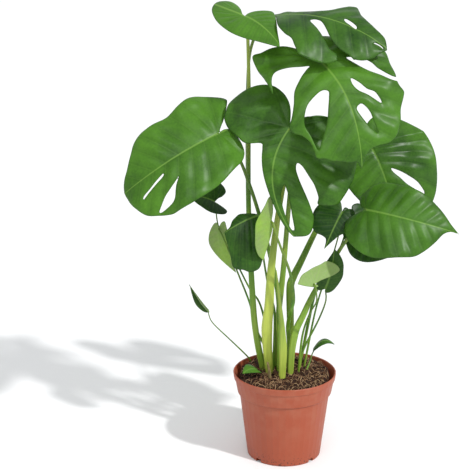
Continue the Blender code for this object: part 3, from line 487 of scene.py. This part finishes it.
def leaf_underside(settings):
    """Living leaf, lower face: airy tissue without the wax, so it is matte and grey-green, with
    the veins standing out a little lighter."""
    made, tree, shader = new_material("living_leaf_under", Metallic=0.0, IOR=1.45)
    middle, side, _ = vein_masks(tree)
    mottle = grain(tree, 0.004, 4.0)
    # young: the blade's tone with broad random patches, partly its age and partly painted shade and
    # light
    young = maths(tree, "ADD", attribute(tree, "tone"),
                  ramp(tree, grain(tree, 0.04), 0.3, 0.7, -0.25, 0.25, "LINEAR"))
    base = mixed(tree, ramp(tree, young, 0.5, 1.0), tuple(settings.under),
                 tuple(settings.under_light))
    base = mixed(tree, ramp(tree, mottle, 0.3, 0.8, 0.0, 0.25), base, tuple(settings.light))
    veined = mixed(tree, maths(tree, "MULTIPLY", maths(tree, "MAXIMUM", side, middle), 0.35), base,
                   tuple(settings.vein))
    tree.links.new(veined, shader.inputs["Base Color"])
    tree.links.new(ramp(tree, mottle, 0.3, 0.7, 0.52, 0.66), shader.inputs["Roughness"])
    bumped(tree, shader, mottle, 0.0003, 0.4)
    return made


def stalk_skin(settings):
    """Living stalk: a smooth, slightly ribbed skin. It is pale yellow-green in the sheath, where
    little light reaches it, and deepens upwards, with fine streaks along it."""
    made, tree, shader = new_material("living_stalk_skin", Metallic=0.0, IOR=1.45)
    streaks = grain(tree, 0.0016, 3.0, (1.0, 1.0, 0.035))
    patches = grain(tree, 0.03, 2.0, (1.0, 1.0, 0.5))
    share = attribute(tree, "share")
    pale = maths(tree, "ADD", attribute(tree, "tone"),
                 ramp(tree, streaks, 0.3, 0.7, -0.13, 0.13, "LINEAR"))
    pale = maths(tree, "ADD", pale, ramp(tree, patches, 0.3, 0.7, -0.1, 0.1, "LINEAR"), clamp=True)
    green = mixed(tree, ramp(tree, share, 0.3, 0.75), tuple(settings.green), linear("3B6416"))
    tree.links.new(mixed(tree, pale, green, tuple(settings.pale)), shader.inputs["Base Color"])
    tree.links.new(ramp(tree, streaks, 0.3, 0.7, 0.36, 0.5), shader.inputs["Roughness"])
    bumped(tree, shader, streaks, 0.0004, 0.5)
    return made


def withered_skin(settings):
    """Withered stalk: dried, papery tissue, so dull, straw coloured and streaked brown."""
    made, tree, shader = new_material("withered_stalk_skin", Metallic=0.0, IOR=1.45)
    streaks = grain(tree, 0.0012, 4.0, (1.0, 1.0, 0.06))
    tree.links.new(mixed(tree, ramp(tree, streaks, 0.3, 0.7), linear("5A4A2C"),
                         tuple(settings.dry)), shader.inputs["Base Color"])
    tree.links.new(ramp(tree, streaks, 0.3, 0.7, 0.7, 0.9), shader.inputs["Roughness"])
    bumped(tree, shader, streaks, 0.0006, 0.8)
    return made


def potting_mix(settings):
    """Damp peat and coir: dark, crumbly and matte, with lighter dry grains through it."""
    made, tree, shader = new_material("damp_potting_mix", Metallic=0.0, IOR=1.4)
    clumps, grit = grain(tree, 0.006, 4.0), grain(tree, 0.0014, 5.0)
    tint = maths(tree, "MULTIPLY", ramp(tree, grit, 0.48, 0.72),
                 ramp(tree, clumps, 0.3, 0.7, 0.25, 0.8))
    tint = maths(tree, "ADD", tint, attribute(tree, "tone"), clamp=True)
    tree.links.new(mixed(tree, tint, tuple(settings.peat), tuple(settings.bark)),
                   shader.inputs["Base Color"])
    tree.links.new(ramp(tree, grit, 0.3, 0.7, 0.8, 0.95), shader.inputs["Roughness"])
    bumped(tree, shader, grit, 0.0012, 0.9)
    return made


def coir_fibre(settings):
    """Coir fibre: dry husk, light tan to brown from strand to strand, with a faint gloss."""
    made, tree, shader = new_material("dry_coir_fibre", Metallic=0.0, IOR=1.5, Roughness=0.6)
    tree.links.new(mixed(tree, attribute(tree, "tone"), linear("6A4326"), linear("D0AC80")),
                   shader.inputs["Base Color"])
    return made


def moulded_plastic(settings):
    """Moulded polypropylene, terracotta coloured and through-dyed: an even, slightly waxy
    satin. Handling and watering leave a pale dusty film high on the wall, and damp mix
    washed out of the drain slots leaves dark specks along the foot."""
    made, tree, shader = new_material("moulded_polypropylene", Metallic=0.0, IOR=1.49)
    place = add(tree, "SeparateXYZ", {0: add(tree, "TexCoord").outputs["Object"]})
    height = place.outputs[2]
    film, cloud, specks = grain(tree, 0.02, 5.0), grain(tree, 0.045, 3.0), grain(tree, 0.0028, 3.0)
    dusty = maths(tree, "MULTIPLY", ramp(tree, film, 0.35, 0.75),
                  ramp(tree, height, 0.1 * POT_TOP, 0.9 * POT_TOP, 0.08, 0.3))
    base = mixed(tree, ramp(tree, cloud, 0.3, 0.7, 0.0, 0.25), tuple(settings.plastic),
                 linear("974423"))
    base = mixed(tree, dusty, base, tuple(settings.dust))
    low = ramp(tree, height, 0.0, 0.03, 1.0, 0.0)
    dirty = maths(tree, "MULTIPLY", ramp(tree, specks, 0.56, 0.64), low)
    tree.links.new(mixed(tree, dirty, base, tuple(settings.dirt)), shader.inputs["Base Color"])
    tree.links.new(ramp(tree, film, 0.3, 0.7, 0.4, 0.58), shader.inputs["Roughness"])
    bumped(tree, shader, film, 0.0004, 0.25)
    return made


def studio_floor(settings):
    """Painted studio floor: plain, matte and nearly white, so it only shows the shadow."""
    made, tree, shader = new_material("painted_studio_floor", Metallic=0.0, Roughness=0.9)
    shade = grain(tree, 1.5, 2.0)
    tree.links.new(mixed(tree, ramp(tree, shade, 0.3, 0.7, 0.0, 0.03), tuple(settings.floor),
                         linear("E8E8E8")), shader.inputs["Base Color"])
    return made


# ---- shapes ----
def spline_through(points, steps):
    """Catmull-Rom points through the way points, as rows of an array."""
    points = [np.asarray(point, float) for point in points]
    ends = [2 * points[0] - points[1]] + points + [2 * points[-1] - points[-2]]
    route = []
    for before, start, end, after in zip(ends, ends[1:], ends[2:], ends[3:]):
        for step in range(steps):
            t = step / steps
            route.append(0.5 * (2 * start + (end - before) * t
                                + (2 * before - 5 * start + 4 * end - after) * t ** 2
                                + (3 * start - before - 3 * end + after) * t ** 3))
    return np.array(route + [points[-1]])


def closed_spline(points, steps):
    points = [np.asarray(point, float) for point in points]
    route = spline_through(points[-2:] + points + points[:2], steps)
    return route[2 * steps:(len(points) + 2) * steps]


def above_soil(point):
    return np.array([point[0] * MM, point[1] * MM, point[2] * MM + SOIL_LEVEL])


def unit(rows):
    return rows / np.linalg.norm(rows, axis=-1, keepdims=True)


class Blade:
    """The bent surface of one leaf, found from the distance along and across its midrib."""

    def __init__(self, leaf):
        self.base, middle, self.tip = (above_soil(leaf[key]) for key in ("base", "mid", "tip"))
        self.pull = 2 * middle - (self.base + self.tip) / 2
        chords = self.midrib(np.linspace(0, 1, 41)[:, None])
        self.length = float(np.linalg.norm(np.diff(chords, axis=0), axis=1).sum())
        self.axis = unit(self.tip - self.base)
        self.face = unit(np.array(leaf["face"], float))
        self.face_tip = unit(np.array(leaf.get("face_tip", leaf["face"]), float))
        self.sides = {True: leaf["right"], False: leaf["left"]}

    def midrib(self, share):
        return ((1 - share) ** 2 * self.base + 2 * share * (1 - share) * self.pull
                + share ** 2 * self.tip)

    def place(self, along, across, height):
        """World points for arrays of plan positions and heights above the blade's surface."""
        along, across, height = (np.atleast_1d(np.asarray(values, float))
                                 for values in (along, across, height))
        share = along / self.length
        held = np.clip(share, 0, 1)[:, None]
        tangent = unit(2 * (1 - held) * (self.pull - self.base) + 2 * held * (self.tip - self.pull))
        beyond = (share - held[:, 0])[:, None] * self.length
        point = self.midrib(held) + tangent * beyond
        turn = np.clip(share, -0.5, 1)[:, None]
        face = self.face + (self.face_tip - self.face) * turn
        sideways = unit(np.cross(self.axis, face))
        outward = unit(np.cross(sideways, tangent))
        reach, rise = np.zeros_like(along), np.zeros_like(along)
        for right in (True, False):
            chosen = (across >= 0) == right
            start, droop = (math.radians(angle) for angle in self.sides[right])
            droop /= 0.1
            end = start - droop * np.abs(across[chosen])
            reach[chosen] = (math.sin(start) - np.sin(end)) / droop
            rise[chosen] = (np.cos(end) - math.cos(start)) / droop
        return (point + sideways * (np.sign(across) * reach)[:, None]
                + outward * (rise + height)[:, None])


def leaf_loops(leaf):
    """The blade's outline and its openings as closed loops in the plan (along, across)."""
    right = spline_through([(a * MM, w * MM) for a, w in leaf["right_half"]], 8)
    left = spline_through([(a * MM, -w * MM) for a, w in leaf["left_half"]], 8)
    outline = np.vstack([right, left[-2:0:-1]])
    openings = [closed_spline([(a * MM, w * MM) for a, w in opening], 8)
                for opening in leaf.get("openings", [])]
    return [outline] + openings


def to_loops(points, loops):
    """For plan points: distance to the nearest loop, the place on it, and whether it is leaf."""
    nearest = np.full(len(points), np.inf)
    place = np.zeros_like(points)
    leaf = np.ones(len(points), bool)
    for loop in loops:
        inside = np.zeros(len(points), bool)
        for start, end in zip(loop, np.roll(loop, -1, axis=0)):
            step = end - start
            size = step @ step
            if size < 1e-14:
                continue
            t = np.clip((points - start) @ step / size, 0, 1)[:, None]
            found = start + t * step
            distance = np.linalg.norm(points - found, axis=1)
            closer = distance < nearest
            nearest[closer], place[closer] = distance[closer], found[closer]
            if start[1] != end[1]:
                crosses = (start[1] > points[:, 1]) != (end[1] > points[:, 1])
                at = start[0] + (points[:, 1] - start[1]) * step[0] / step[1]
                inside ^= crosses & (points[:, 0] < at)
        leaf &= inside if loop is loops[0] else ~inside
    return nearest, place, leaf


def leaf_sheet(leaf, cell):
    """A flat sheet of small faces in the shape of the blade, as a bmesh in its plan."""
    loops = leaf_loops(leaf)
    low = np.floor(loops[0].min(0) / cell) * cell - cell
    high = np.ceil(loops[0].max(0) / cell) * cell + cell
    size, middle = high - low, (high + low) / 2
    sheet = bmesh.new()
    stretch = Matrix.Diagonal((size[0], size[1], 1.0, 1.0))
    shift = Matrix.Translation((middle[0], -middle[1], 0.0))
    bmesh.ops.create_grid(sheet, x_segments=round(size[0] / cell), y_segments=round(size[1] / cell),
                          size=0.5, matrix=shift @ stretch)

    def plan(verts):
        return np.array([(v.co.x, -v.co.y) for v in verts])

    def snap(verts, reach):
        points = plan(verts)
        distance, place, _ = to_loops(points, loops)
        for vertex, near, target in zip(verts, distance, place):
            if near < reach:
                vertex.co.x, vertex.co.y = target[0], -target[1]

    verts = list(sheet.verts)
    snap(verts, 0.5 * cell)
    faces = list(sheet.faces)
    middles = np.array([(f.calc_center_median().x, -f.calc_center_median().y) for f in faces])
    _, _, leafy = to_loops(middles, loops)
    bmesh.ops.delete(sheet, geom=[f for f, keep in zip(faces, leafy) if not keep], context="FACES")
    for _ in range(2):
        snap([v for v in sheet.verts if v.is_boundary], 3 * cell)
        inner = [v for v in sheet.verts if not v.is_boundary]
        bmesh.ops.smooth_vert(sheet, verts=inner, factor=0.3, use_axis_x=True, use_axis_y=True)
    corners = [loops[0][0], np.array(leaf["right_half"][-1], float) * MM]
    edge = [v for v in sheet.verts if v.is_boundary]
    for corner in corners:
        nearest = min(edge, key=lambda v: (v.co.x - corner[0]) ** 2 + (v.co.y + corner[1]) ** 2)
        nearest.co.x, nearest.co.y = corner[0], -corner[1]
    return sheet, loops


def vein_field(leaf, span, along, across):
    """Where a point lies between the side veins, counted from the stalk, and their spacing.

    The veins leave the midrib steeply near the stalk and lean to the tip further on. Those
    that serve the lobes behind the stalk fan out backwards from it."""
    count = leaf.get("veins", 7)
    aside = np.abs(across)
    curves = [-3.2 * aside, -1.15 * aside, -0.35 * aside]
    for number in range(count + 3):
        share = number / count
        lean = 0.2 + 0.75 * share
        bend = 1.6 * (1 - 0.5 * share)
        curves.append(span * (0.03 + 0.9 * share) + lean * aside + bend * aside ** 2)
    curves = np.array(curves)
    below = np.clip((curves <= along).sum(axis=0) - 1, 0, len(curves) - 2)
    columns = np.arange(len(along))
    low, high = curves[below, columns], curves[below + 1, columns]
    gap = np.maximum(high - low, 1e-5)
    return below + (along - low) / gap, np.minimum(gap, 0.05)


def relief(leaf, span, along, across, rim, phase, gap, leaves):
    """Height of the real surface over the smooth one: veins, panels, waves and turned rim."""
    seed = sum(map(ord, leaf["name"]))
    aside = np.abs(across)
    out = np.clip(aside / 0.06, 0, 1) ** 1.5
    size = min(1.0, span / 0.12)
    wave = leaves.wave * size * out * np.sin(2 * math.pi * along / (0.05 + 0.03 * size) + seed)
    broad = np.array([noise.noise(Vector((a / 0.055, w / 0.055, seed)))
                      + 0.45 * noise.noise(Vector((a / 0.022, w / 0.022, seed + 7)))
                      for a, w in zip(along, across)]) * 0.0042 * size * out
    aside_vein = np.abs((phase + 0.5) % 1.0 - 0.5)
    quilt = leaves.quilt * size * np.sin(math.pi * np.clip(aside_vein, 0, 0.5)) ** 2
    quilt *= np.clip(gap / 0.02, 0, 1) * np.clip(aside / 0.02, 0, 1) * np.clip(rim / 0.012, 0, 1)
    side = -0.0004 * size * np.exp(-(aside_vein * gap / 0.0013) ** 2) * np.clip(rim / 0.02, 0, 1)
    share = np.clip(along / span, 0, 1)
    middle = -leaves.groove * size * (1 - 0.7 * share) * np.exp(-(aside / 0.0019) ** 2)
    middle = np.where(along < 0, 0.0, middle)
    turned = -0.0011 * size * np.exp(-rim / 0.003)
    return wave + broad + quilt + side + middle + turned


def put(mesh, name, values):
    mesh.attributes.new(name, "FLOAT", "POINT").data.foreach_set("value", np.asarray(values, "f"))


def as_mesh(shape, name, *materials):
    mesh = bpy.data.meshes.new(name)
    shape.to_mesh(mesh)
    shape.free()
    mesh.shade_smooth()
    for material in materials:
        mesh.materials.append(material)
    return mesh


def finish_piece(piece, slot, *nodes):
    bpy.context.scene.collection.objects.link(piece)
    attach(piece, "root")
    if nodes:
        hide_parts(*nodes)
    return piece


def grow_leaf(leaf, blade, leaves, materials):
    cell = leaves.cell * 1.0 * (1.0 if blade.length > 0.09 else 0.7)
    sheet, loops = leaf_sheet(leaf, cell)
    mesh = as_mesh(sheet, leaf["name"] + "_blade", *materials)
    flat = np.zeros(len(mesh.vertices) * 3)
    mesh.vertices.foreach_get("co", flat)
    along, across = flat[0::3], -flat[1::3]
    rim, _, _ = to_loops(np.column_stack([along, across]), loops)
    phase, gap = vein_field(leaf, blade.length, along, across)
    height = relief(leaf, blade.length, along, across, rim, phase, gap, leaves)
    mesh.vertices.foreach_set("co", blade.place(along, across, height).ravel())
    for name, values in (("vein", phase), ("gap", gap), ("rim", rim),
                         ("share", np.clip(along / blade.length, 0, 1)),
                         ("tone", np.full(len(along), TONES[leaf["name"]]))):
        put(mesh, name, values)
    corner = np.zeros(len(mesh.loops), int)
    mesh.loops.foreach_get("vertex_index", corner)
    layer = mesh.uv_layers.new(name="plan")
    layer.data.foreach_set("uv", np.column_stack([along, across])[corner].ravel())
    piece = bpy.data.objects.new(mesh.name, mesh)
    shell = piece.modifiers.new("thickness", "SOLIDIFY")
    shell.thickness = LEAF_THICKNESS
    shell.offset = 0.0
    shell.material_offset = 1
    slot = "leaf_pale" if leaf["name"] in PALE_LEAVES else "leaf"
    return finish_piece(piece, slot, leaf["name"])


def stalk_radius(share, stalk):
    foot, widest, top = (radius * MM for radius in stalk["radii"])
    swell = stalk["swell"]
    if share < swell:
        return foot + (widest - foot) * share / swell
    return widest + (top - widest) * ((share - swell) / (1 - swell)) ** 0.75


def ring_frames(route, radii):
    """A matrix for each ring of a tube: its place, its way along the route, and its size."""
    frames, side = [], Vector((0.0, -1.0, 0.0))
    points = [Vector(point) for point in route]
    for number, (point, radius) in enumerate(zip(points, radii)):
        before, after = points[max(number - 1, 0)], points[min(number + 1, len(points) - 1)]
        forward = (after - before).normalized()
        side = (side - forward * side.dot(forward)).normalized()
        turn = Matrix((forward.cross(side), side, forward)).transposed().to_4x4()
        turn.col[0][:3], turn.col[1][:3] = side, forward.cross(side)
        frames.append(Matrix.Translation(point) @ turn @ Matrix.Scale(radius, 4))
    return frames


def tube(shape, route, radii, sides, flatness=None):
    """A closed tube along a route; flatness gives each ring its channel, from 0 to 1."""
    share = shape.verts.layers.float.get("share") or shape.verts.layers.float.new("share")
    frames = ring_frames(route, radii)
    made = bmesh.ops.create_circle(shape, segments=sides, radius=1.0, matrix=frames[0])["verts"]
    ring = list({edge for vertex in made for edge in vertex.link_edges})
    first = last = ring
    for number in range(1, len(frames)):
        result = bmesh.ops.extrude_edge_only(shape, edges=last)["geom"]
        verts = [part for part in result if isinstance(part, bmesh.types.BMVert)]
        last = [part for part in result if isinstance(part, bmesh.types.BMEdge)
                and all(v in verts for v in part.verts)]
        onward = frames[number] @ frames[number - 1].inverted()
        bmesh.ops.transform(shape, verts=verts, matrix=onward)
        for vertex in verts:
            vertex[share] = number / (len(frames) - 1)
    bmesh.ops.contextual_create(shape, geom=first)
    bmesh.ops.contextual_create(shape, geom=last)
    if flatness:
        rings = len(frames) - 1
        back = [frame.inverted() for frame in frames]
        for vertex in shape.verts:
            number = round(vertex[share] * rings)
            local = back[number] @ vertex.co
            angle = abs(math.atan2(local.y, local.x))
            depth = flatness[number]
            pull = 1 - 0.55 * depth * math.exp(-(angle / 0.45) ** 2)
            pull += 0.22 * depth * math.exp(-((angle - 0.95) / 0.3) ** 2)
            local.x, local.y = local.x * pull, local.y * pull
            vertex.co = frames[number] @ local


def grow_stalk(stalk, blades, stalks, materials):
    foot = above_soil((*stalk["foot"], 0))
    points = [foot + (0, 0, 0.003)] + [above_soil(point) for point in stalk["way"]]
    blade = blades.get(stalk["leaf"])
    end = []
    if blade:
        top = stalk["radii"][2] * MM
        hang = max(0.0, -math.tan(math.radians(min(blade.sides[True][0], blade.sides[False][0]))))
        under = -(LEAF_THICKNESS / 2 + JOINT_GAP + hang * top)
        points.append(blade.place(top + 0.001, 0.0, under - 2.5 * top)[0])
        end = [blade.place(top + 0.001, 0.0, under + 0.0003)[0]]
    route = [foot - (0, 0, FOOT_DEPTH)] + list(spline_through(points, 24)) + end
    reach = np.concatenate([[0], np.cumsum(np.linalg.norm(np.diff(route, axis=0), axis=1))])
    count = max(8, round(reach[-1] / stalks.ring))
    even = np.linspace(0, reach[-1], count)
    route = np.column_stack([np.interp(even, reach, np.array(route)[:, axis]) for axis in range(3)])
    shares = np.clip((even - FOOT_DEPTH) / (reach[-1] - FOOT_DEPTH), 0, 1)
    sheathed = stalk["radii"][1] > THICK_STALK
    knee = [1 + (0.22 if sheathed else 0.1) * math.exp(-((share - 0.955) / 0.022) ** 2)
            for share in shares]
    radii = [stalk_radius(share, stalk) * more for share, more in zip(shares, knee)]
    channel = [0.8 * max(0.0, 1 - share / 0.62) * min(1.0, share / 0.05) for share in shares]
    shape = bmesh.new()
    tube(shape, route, radii, stalks.sides if sheathed else 12, channel if sheathed else None)
    bmesh.ops.recalc_face_normals(shape, faces=shape.faces)
    slot = {"sheath_centre": "sheath", "stub_withered": "dry"}.get(stalk["name"], "stalk")
    mesh = as_mesh(shape, stalk["name"] + "_skin", materials["dry" if slot == "dry" else "stalk"])
    up = np.zeros(len(mesh.vertices))
    mesh.attributes["share"].data.foreach_get("value", up)
    foot_pale, low_pale, top_pale = PALENESS.get(stalk["name"], OTHER_PALENESS)
    put(mesh, "tone", np.interp(up, (0.0, 0.3, 0.55, 1.0),
                                (foot_pale, low_pale, 0.5 * low_pale, top_pale)))
    piece = bpy.data.objects.new(mesh.name, mesh)
    return finish_piece(piece, slot, stalk["name"])


# ---- potting mix ----
def mix_level(x, y, mix):
    """Height of the lumpy surface of the potting mix."""
    radius = math.hypot(x, y) / SOIL_RADIUS
    lumps = noise.fractal(Vector((x / 0.016, y / 0.016, 3.0)), 1.0, 2.0, 4)
    grit = noise.noise(Vector((x / 0.0035, y / 0.0035, 9.0)))
    back = 0.006 * max(0.0, min(1.0, (y + 0.03) / 0.08))
    mound = 0.004 * max(0.0, 1 - radius ** 2)
    return (SOIL_LEVEL - 0.002 + back + mound + mix.relief * (0.5 * lumps + 0.15 * grit)
            - 0.0015 * radius ** 4)


def make_mix(mix, material):
    shape = bmesh.new()
    cells = 110
    bmesh.ops.create_grid(shape, x_segments=cells, y_segments=cells, size=1.0)
    for vertex in shape.verts:
        x, y = vertex.co.x, vertex.co.y
        x, y = x * math.sqrt(1 - y * y / 2), y * math.sqrt(1 - x * x / 2)
        x, y = x * SOIL_RADIUS, y * SOIL_RADIUS
        vertex.co = (x, y, mix_level(x, y, mix))
    rim = [edge for edge in shape.edges if edge.is_boundary]
    for drop, size in ((0.012, 0.985), (0.03, 0.9), (SOIL_LEVEL - 0.006, 0.76)):
        result = bmesh.ops.extrude_edge_only(shape, edges=rim)["geom"]
        verts = [part for part in result if isinstance(part, bmesh.types.BMVert)]
        rim = [part for part in result if isinstance(part, bmesh.types.BMEdge)]
        rim = [edge for edge in rim if edge.is_boundary]
        for vertex in verts:
            around = math.atan2(vertex.co.y, vertex.co.x)
            reach = SOIL_RADIUS * size
            vertex.co = (math.cos(around) * reach, math.sin(around) * reach, SOIL_LEVEL - drop)
    bmesh.ops.contextual_create(shape, geom=rim)
    bmesh.ops.recalc_face_normals(shape, faces=shape.faces)
    mesh = as_mesh(shape, "potting_mix", material)
    put(mesh, "tone", np.zeros(len(mesh.vertices)))
    return finish_piece(bpy.data.objects.new("potting_mix", mesh), "soil", "soil")


def scatter_place(draw, mix, reach):
    radius, around = SOIL_RADIUS * reach * math.sqrt(draw.random()), draw.uniform(0, 2 * math.pi)
    x, y = radius * math.cos(around), radius * math.sin(around)
    return Vector((x, y, mix_level(x, y, mix)))


def make_crumbs(mix, material):
    draw = random.Random(11)
    shape = bmesh.new()
    tone = shape.verts.layers.float.new("tone")
    for _ in range(mix.crumbs):
        size = 0.0009 * (1 + 2.6 * draw.random() ** 2.5)
        place = scatter_place(draw, mix, 0.99) + Vector((0, 0, 0.3 * size))
        turn = Matrix.Rotation(draw.uniform(0, 6.28), 4, (draw.random(), draw.random(), 0.3))
        squeeze = Matrix.Diagonal((draw.uniform(0.7, 1.5), draw.uniform(0.7, 1.2),
                                   draw.uniform(0.5, 0.9), 1.0))
        made = bmesh.ops.create_icosphere(
            shape, subdivisions=2, radius=size,
            matrix=Matrix.Translation(place) @ turn @ squeeze)["verts"]
        shade = draw.uniform(-0.1, 0.35)
        for vertex in made:
            push = noise.noise(vertex.co / (0.9 * size)) * 0.45 * size
            vertex.co += (vertex.co - place).normalized() * push
            vertex[tone] = shade
    mesh = as_mesh(shape, "mix_crumbs", material)
    return finish_piece(bpy.data.objects.new("mix_crumbs", mesh), "soil")


def make_fibres(mix, material):
    draw = random.Random(23)
    shape = bmesh.new()
    tone = shape.verts.layers.float.new("tone")
    for _ in range(mix.fibres):
        start = scatter_place(draw, mix, 0.96)
        long, turn = draw.uniform(0.005, 0.017), draw.uniform(0, 2 * math.pi)
        curl, arch = draw.uniform(-1.6, 1.6), draw.uniform(0.1, 0.45) * long
        points = []
        for step in range(4):
            t = step / 3
            heading = turn + curl * t
            x = start.x + math.cos(heading) * long * (t - 0.5)
            y = start.y + math.sin(heading) * long * (t - 0.5)
            far = math.hypot(x, y) / (0.985 * SOIL_RADIUS)
            x, y = (x, y) if far < 1 else (x / far, y / far)
            points.append((x, y, mix_level(x, y, mix) + 0.0004 + arch * 4 * t * (1 - t)))
        before = len(shape.verts)
        thick = draw.uniform(0.00018, 0.00042)
        tube(shape, spline_through(points, 2), [thick] * 7, 4)
        shape.verts.ensure_lookup_table()
        shade = draw.random() ** 1.3
        for vertex in shape.verts[before:]:
            vertex[tone] = shade
    bmesh.ops.recalc_face_normals(shape, faces=shape.faces)
    mesh = as_mesh(shape, "coir_fibres", material)
    return finish_piece(bpy.data.objects.new("coir_fibres", mesh), "soil")


# ---- operators ----
class MONSTERA_OT_stage(bpy.types.Operator):
    """Lay the studio floor and set the lights and the camera"""
    bl_idname = "monstera.stage"
    bl_label = "Stage"

    def execute(self, context):
        settings = context.scene.monstera_stage
        shape = bmesh.new()
        bmesh.ops.create_circle(shape, cap_ends=True, segments=96, radius=FLOOR_RADIUS)
        mesh = bpy.data.meshes.new("studio_floor")
        shape.to_mesh(mesh)
        shape.free()
        mesh.materials.append(studio_floor(settings))
        floor = bpy.data.objects.new("studio_floor", mesh)
        context.scene.collection.objects.link(floor)
        world = bpy.data.worlds.new("studio")
        world.use_nodes = True
        background = world.node_tree.nodes["Background"]
        background.inputs["Color"].default_value = (0.96, 0.98, 1.0, 1.0)
        background.inputs["Strength"].default_value = settings.fill
        context.scene.world = world
        key = bpy.data.lights.new("key", "SUN")
        key.energy, key.angle = settings.key, math.radians(KEY_ANGLE)
        lamp = bpy.data.objects.new("key", key)
        lamp.rotation_euler = Vector(TO_KEY).to_track_quat("Z", "Y").to_euler()
        context.scene.collection.objects.link(lamp)
        soft = bpy.data.lights.new("soft_box", "AREA")
        soft.energy, soft.shape = SOFT_BOX["power"], "RECTANGLE"
        soft.size, soft.size_y = SOFT_BOX["size"]
        box = bpy.data.objects.new("soft_box", soft)
        box.location = SOFT_BOX["place"]
        away = box.location - Vector(SOFT_BOX["aim"])
        box.rotation_euler = away.to_track_quat("Z", "Y").to_euler()
        context.scene.collection.objects.link(box)
        camera = bpy.data.cameras.new("camera")
        camera.lens, camera.sensor_width, camera.sensor_fit = LENS, SENSOR, "HORIZONTAL"
        camera.clip_end = 200.0
        eye = bpy.data.objects.new("camera", camera)
        eye.location = EYE
        eye.rotation_euler = (math.radians(90 - LOOK_DOWN), 0.0, 0.0)
        context.scene.collection.objects.link(eye)
        context.scene.camera = eye
        context.scene.view_settings.view_transform = "Standard"
        return {"FINISHED"}


class MONSTERA_OT_leaves(bpy.types.Operator):
    """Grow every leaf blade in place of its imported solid"""
    bl_idname = "monstera.leaves"
    bl_label = "Leaf blades"

    def execute(self, context):
        leaves = context.scene.monstera_leaves
        materials = (living_leaf(leaves), leaf_underside(leaves))
        for leaf in LEAVES:
            grow_leaf(leaf, Blade(leaf), leaves, materials)
        return {"FINISHED"}


class MONSTERA_OT_stalks(bpy.types.Operator):
    """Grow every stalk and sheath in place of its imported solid"""
    bl_idname = "monstera.stalks"
    bl_label = "Stalks"

    def execute(self, context):
        stalks = context.scene.monstera_stalks
        blades = {leaf["name"]: Blade(leaf) for leaf in LEAVES}
        materials = {"stalk": stalk_skin(stalks), "dry": withered_skin(stalks)}
        for stalk in STALKS:
            grow_stalk(stalk, blades, stalks, materials)
        return {"FINISHED"}


class MONSTERA_OT_soil(bpy.types.Operator):
    """Fill the pot with lumpy potting mix, crumbs and coir fibres"""
    bl_idname = "monstera.soil"
    bl_label = "Potting mix"

    def execute(self, context):
        mix = context.scene.monstera_soil
        material = potting_mix(mix)
        make_mix(mix, material)
        make_crumbs(mix, material)
        make_fibres(mix, coir_fibre(mix))
        return {"FINISHED"}


class MONSTERA_OT_pot(bpy.types.Operator):
    """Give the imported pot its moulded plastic"""
    bl_idname = "monstera.pot"
    bl_label = "Pot"

    def execute(self, context):
        pot = frame["nodes"]["pot"]
        pot.data.materials.clear()
        pot.data.materials.append(moulded_plastic(context.scene.monstera_pot))
        return {"FINISHED"}


class MONSTERA_PT_panel(bpy.types.Panel):
    """The plant's pieces, each with its own button"""
    bl_idname = "MONSTERA_PT_panel"
    bl_label = "Potted monstera"
    bl_space_type = "VIEW_3D"
    bl_region_type = "UI"
    bl_category = "Monstera"

    def draw(self, context):
        for operator, settings in STEPS:
            self.layout.operator(operator)
            group = getattr(context.scene, settings)
            for name in group.__annotations__:
                self.layout.prop(group, name)


STEPS = (("monstera.stage", "monstera_stage"), ("monstera.pot", "monstera_pot"),
         ("monstera.soil", "monstera_soil"), ("monstera.stalks", "monstera_stalks"),
         ("monstera.leaves", "monstera_leaves"))
GROUPS = {"monstera_stage": MonsteraStage, "monstera_pot": MonsteraPot,
          "monstera_soil": MonsteraSoil, "monstera_stalks": MonsteraStalks,
          "monstera_leaves": MonsteraLeaves}
CLASSES = (*GROUPS.values(), MONSTERA_OT_stage, MONSTERA_OT_pot, MONSTERA_OT_soil,
           MONSTERA_OT_stalks, MONSTERA_OT_leaves, MONSTERA_PT_panel)


def register():
    for made in CLASSES:
        bpy.utils.register_class(made)
    for name, group in GROUPS.items():
        setattr(bpy.types.Scene, name, PointerProperty(type=group))


def unregister():
    for name in GROUPS:
        delattr(bpy.types.Scene, name)
    for made in reversed(CLASSES):
        bpy.utils.unregister_class(made)


def main():
    register()
    for operator, _ in STEPS:
        group, name = operator.split(".")
        getattr(getattr(bpy.ops, group), name)()


if __name__ == "__main__":
    main()
